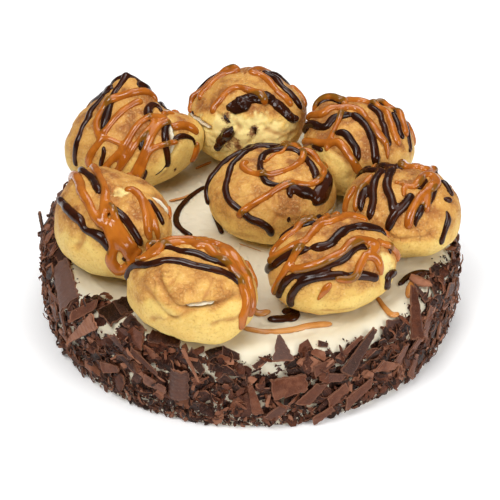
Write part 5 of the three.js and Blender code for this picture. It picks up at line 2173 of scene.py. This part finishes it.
@dataclass
class Dressing:
    """Shaved chocolate pressed against the side of the cake."""

    tree: ScatterTree
    cake: CreamCake
    sides: int = 400
    rows: int = 40
    foot: float = 1.6
    head: float = 64.0
    shapes: int = 12

    LAYERS = (
        Layer("large_flakes", Cut.FLAKE, 560, (8.0, 15.5), (1.0, 3.0), 0.22, 0.12, 3),
        Layer("flakes", Cut.FLAKE, 1700, (4.5, 8.5), (0.6, 3.0), 0.45, 0.5, 13),
        Layer("small_flakes", Cut.FLAKE, 3800, (1.8, 4.6), (0.4, 3.2), 1.0, 1.0, 23),
        Layer("slivers", Cut.SLIVER, 1700, (2.5, 8.0), (0.6, 3.4), 0.6, 1.0, 5),
        Layer("crumbs", Cut.CRUMB, 14000, (0.5, 1.7), (0.0, 1.8), 1.5, 1.0, 9),
    )

    def bed(self, layer: Layer, buns: Sequence[Bun]) -> Piece:
        """Makes the surface that a layer lies on, for the scatter alone.

        Args:
            layer: the layer.
            buns: the buns, which keep the dressing away.

        Returns:
            The bed, with how crowded it is and how much room there is.
        """
        azimuths = np.arange(self.sides) * 360.0 / self.sides
        around = np.tile(azimuths, self.rows)
        run = np.repeat(np.linspace(self.foot, self.head, self.rows), self.sides)
        points, out, _ = perch(around, run)
        noise = Relief(19)
        over = run - self.cake.limit(around)
        crowd = smooth(1.5, -2.0, over + 1.2 * noise.at(points, 5.0))
        crowd = np.maximum(crowd, 0.02 * smooth(7, 1, over) * (layer.sizes[1] < 5))
        crowd = crowd * (1 - 0.97 * self.cake.bare(points))
        crowd = crowd * (layer.at_base + (1 - layer.at_base) * smooth(7, 17, run))
        clear = np.max([bun.depth(points + 1.5 * out) for bun in buns], axis=0)
        margin = 1.0 + 0.3 * layer.sizes[1]
        crowd = crowd * smooth(-margin, -margin - 2, clear)
        room = smooth(0.5, -6.0, clear) * (0.35 + 0.65 * smooth(1, 10, run))
        for shaving in SHAVINGS:
            inside = shaving.footprint(points)
            room = room * (1 - 0.8 * inside)
            cleared = layer.cut is not Cut.CRUMB and shaving.size[1] >= 9
            crowd = crowd * (1 - inside * cleared)
        room = room * (1 - 0.5 * smooth(46, 54, run))
        return spawn("bed", points, grid_faces(self.rows, self.sides, True),
                     bpy.data.materials[0], {"crowd": crowd, "room": room})

    def pattern(self, cut: Cut, number: int) -> Piece:
        """Makes one shape of flake, sliver or crumb, about a millimetre long.

        Args:
            cut: its kind.
            number: which of its kind.

        Returns:
            A small closed mesh.
        """
        rng = np.random.default_rng(100 * len(cut.value) + number)
        shape = {Cut.FLAKE: self.flake, Cut.SLIVER: self.sliver, Cut.CRUMB: self.crumb}[cut]
        points, faces, sides = shape(rng)
        piece = spawn(f"{cut.value}_{number}", points, faces, bpy.data.materials[0], rounded=False)
        # The cut edge faces are marked, where the finish paints a highlight.
        mark(piece, {"edge": sides}, "FACE")
        map_cut(piece, points[:, [1, 0]] * 0.6 + rng.uniform(0, 9, 2))
        return piece

    @staticmethod
    def crumb(rng: np.random.Generator) -> tuple[Array, list, list[bool]]:
        """Returns an uneven eight-faced crumb: its places, faces and which are cut edges."""
        points = np.array([(1, 0, 0), (0, 1, 0), (0, 0, 0.7), (-1, 0, 0), (0, -1, 0),
                           (0, 0, -0.7)]) * 0.5
        points *= rng.uniform(0.6, 1.25, (6, 3))
        faces = [(0, 1, 2), (1, 3, 2), (3, 4, 2), (4, 0, 2), (1, 0, 5), (3, 1, 5), (4, 3, 5),
                 (0, 4, 5)]
        return points, faces, [False] * len(faces)

    @staticmethod
    def flake(rng: np.random.Generator) -> tuple[Array, list, list[bool]]:
        """Makes a flat flake with a broken outline.

        Args:
            rng: draws its shape.

        Returns:
            Its places, its faces and which of them are cut edges.
        """
        count = int(rng.integers(5, 9))
        turn = 2 * np.pi * (np.arange(count) + rng.uniform(-0.32, 0.32, count)) / count
        reach = rng.uniform(0.62, 1.12, count) * 0.5
        wide, thick = rng.uniform(0.42, 0.72), rng.uniform(0.05, 0.085)
        rim = np.stack([reach * np.cos(turn), wide * reach * np.sin(turn),
                        rng.uniform(-0.05, 0.0, count)], 1)
        rim[:, 2] -= rng.uniform(0.0, 0.3) * rim[:, 1] ** 2 * 4
        rim = np.concatenate([rim, [[0, 0, rng.uniform(0.0, 0.03)]]])
        points = np.concatenate([rim + (0, 0, thick / 2), rim - (0, 0, thick / 2)])
        faces = []
        for a in range(count):
            b = (a + 1) % count
            faces += [(a, b, count), (b + count + 1, a + count + 1, 2 * count + 1),
                      (a, a + count + 1, b + count + 1, b)]
        return points, faces, [False, False, True] * count

    @staticmethod
    def sliver(rng: np.random.Generator) -> tuple[Array, list, list[bool]]:
        """Makes a long thin sliver, bowed over its length.

        Args:
            rng: draws its shape.

        Returns:
            Its places, its faces and which of them are cut edges.
        """
        wide, rows = rng.uniform(0.14, 0.3), 4
        x = np.linspace(-0.5, 0.5, rows) + rng.uniform(-0.06, 0.06, rows)
        swell = 1 - rng.uniform(0.2, 0.85) * np.abs(np.linspace(-1, 1, rows)) ** 1.6
        left = 0.5 * wide * swell * rng.uniform(0.6, 1.25, rows)
        right = -0.5 * wide * swell * rng.uniform(0.6, 1.25, rows)
        bow, thick = rng.uniform(0.0, 0.3), rng.uniform(0.04, 0.07)
        z = bow * (1 - 4 * x ** 2)
        upper = np.concatenate([np.stack([x, left, z], 1), np.stack([x, right, z], 1)])
        points = np.concatenate([upper + (0, 0, thick / 2), upper - (0, 0, thick / 2)])
        n = 2 * rows
        faces = []
        for i in range(rows - 1):
            faces += [(i, rows + i, rows + i + 1, i + 1),
                      (n + i, n + i + 1, n + rows + i + 1, n + rows + i)]
        flat = len(faces)
        border = [*range(rows), *range(2 * rows - 1, rows - 1, -1)]
        faces += [(a, b, b + n, a + n) for a, b in zip(border, border[1:] + border[:1])]
        return points, faces, [index >= flat for index in range(len(faces))]

    def build(self, finish: Material, buns: Sequence[Bun]) -> None:
        """Scatters every layer of the dressing.

        Args:
            finish: the shavings' material.
            buns: the buns, which keep the dressing away.
        """
        area = 2 * math.pi * CAKE_RADIUS * CAKE_HEIGHT * MM * MM
        for layer in self.LAYERS:
            group = bpy.data.collections.new(layer.name)
            patterns = [self.pattern(layer.cut, number) for number in range(self.shapes)]
            for piece in patterns:
                bpy.context.scene.collection.objects.unlink(piece)
                group.objects.link(piece)
            source = self.bed(layer, buns)
            source.name = f"dressing_{layer.name}"
            self.tree.use(source, Cuts=group, Finish=finish, Per_Square_Metre=layer.count / area,
                          Smallest=layer.sizes[0], Largest=layer.sizes[1],
                          Nearest=layer.reach[0] * MM, Furthest=layer.reach[1] * MM,
                          Lean=layer.lean, Seed=layer.seed)
            baked(source)
            for piece in patterns:
                bpy.data.objects.remove(piece)
            bpy.data.collections.remove(group)
            points = corners(source.data)
            points[:, 2] = np.maximum(points[:, 2], LOWEST)
            out = np.hypot(points[:, 0], points[:, 1])
            points[:, :2] *= np.minimum(1, OUTER_REACH / out)[:, None]
            set_corners(source.data, points)
            dress(source, "chocolate", "cake_body")


# ------------------------------------------------------------------ the studio
@dataclass
class Studio:
    """The camera, the soft lights and the pale ground."""

    elevation: float = 36.0
    distance: float = 1.0
    aim: tuple[float, float, float] = (0.0, 0.0, 0.0297)
    focal_share: float = 1962 / 500
    sensor: float = 36.0
    nearest: float = 0.01
    world_light: float = 0.13
    ground_half: float = 4.0

    LAMPS = (("Key", (-0.35, -0.5, 1.0), 0.5, 7.8), ("Fill", (0.8, -0.7, 0.55), 0.6, 6.6),
             ("Top", (0.1, 0.0, 1.2), 0.9, 4.5), ("Back", (0.1, 0.6, 0.9), 0.5, 3.0))
    LAMP_AIM = (0.0, 0.0, 0.04)

    def build(self, larder: Larder) -> None:
        """Sets the studio.

        Args:
            larder: the finishes, for the ground.
        """
        scene = bpy.context.scene
        scene.view_settings.view_transform = "Standard"
        self.stand_camera(scene)
        world = bpy.data.worlds.new("Soft room")
        world.use_nodes = True
        room = world.node_tree.nodes["Background"].inputs
        room["Color"].default_value = (1, 1, 1, 1)
        room["Strength"].default_value = self.world_light
        scene.world = world
        for lamp in self.LAMPS:
            self.lamp(*lamp)
        ground = bpy.data.meshes.new("Ground")
        half = self.ground_half
        ground.from_pydata([(-half, -half, 0), (half, -half, 0), (half, half, 0),
                            (-half, half, 0)], [], [(0, 1, 2, 3)])
        ground.materials.append(larder.floor)
        floor = bpy.data.objects.new("Ground", ground)
        scene.collection.objects.link(floor)

    def stand_camera(self, scene: bpy.types.Scene) -> None:
        """Stands the camera in front of the cake, tilted down at it."""
        tilt = math.radians(self.elevation)
        camera = bpy.data.objects.new("Camera", bpy.data.cameras.new("Camera"))
        camera.location = (self.aim[0], self.aim[1] - self.distance * math.cos(tilt),
                           self.aim[2] + self.distance * math.sin(tilt))
        camera.rotation_euler = (math.pi / 2 - tilt, 0, 0)
        camera.data.sensor_width = self.sensor
        camera.data.lens = self.focal_share * self.sensor
        camera.data.clip_start = self.nearest
        scene.collection.objects.link(camera)
        scene.camera = camera

    @staticmethod
    def lamp(name: str, place: tuple[float, float, float], side: float, power: float) -> None:
        """Hangs a square soft light that faces the cake.

        Args:
            name: its name.
            place: where it hangs, in metres.
            side: its size.
            power: its strength in watts.
        """
        data = bpy.data.lights.new(name, "AREA")
        data.shape, data.size, data.energy = "SQUARE", side, power
        lamp = bpy.data.objects.new(name, data)
        lamp.location = place
        aim = Vector(Studio.LAMP_AIM) - Vector(place)
        lamp.rotation_euler = aim.to_track_quat("-Z", "Y").to_euler()
        bpy.context.scene.collection.objects.link(lamp)


def main() -> None:
    """Builds the cake, from the studio to the last crumb."""
    logging.basicConfig(level=logging.INFO, format="%(name)s %(message)s")
    larder = Larder.stocked()
    Studio().build(larder)
    bag = PipingBag(PipingTree())
    crusts = []
    for index, bun in enumerate(BUNS):
        crusts.append(bun.build(larder.crust, BUNS[:index]))
        bun.cream_in_slit(larder.cream, [other for other in BUNS if other is not bun])
        Drizzle(bun, index, bag).build(larder)
    cake = CreamCake()
    cake.build(larder.cream, crusts)
    PooledSauce(PipingBag(bag.tree, height=0.6)).build(larder)
    for shaving in SHAVINGS:
        cut_from(f"shaving_{shaving.name}", [shaving], larder.shaving, f"chocolate_{shaving.name}")
    cut_from("loose_flakes", loose_flakes(), larder.shaving, "cake_body")
    Dressing(ScatterTree(), cake).build(larder.shaving, BUNS)


if __name__ == "__main__":
    main()
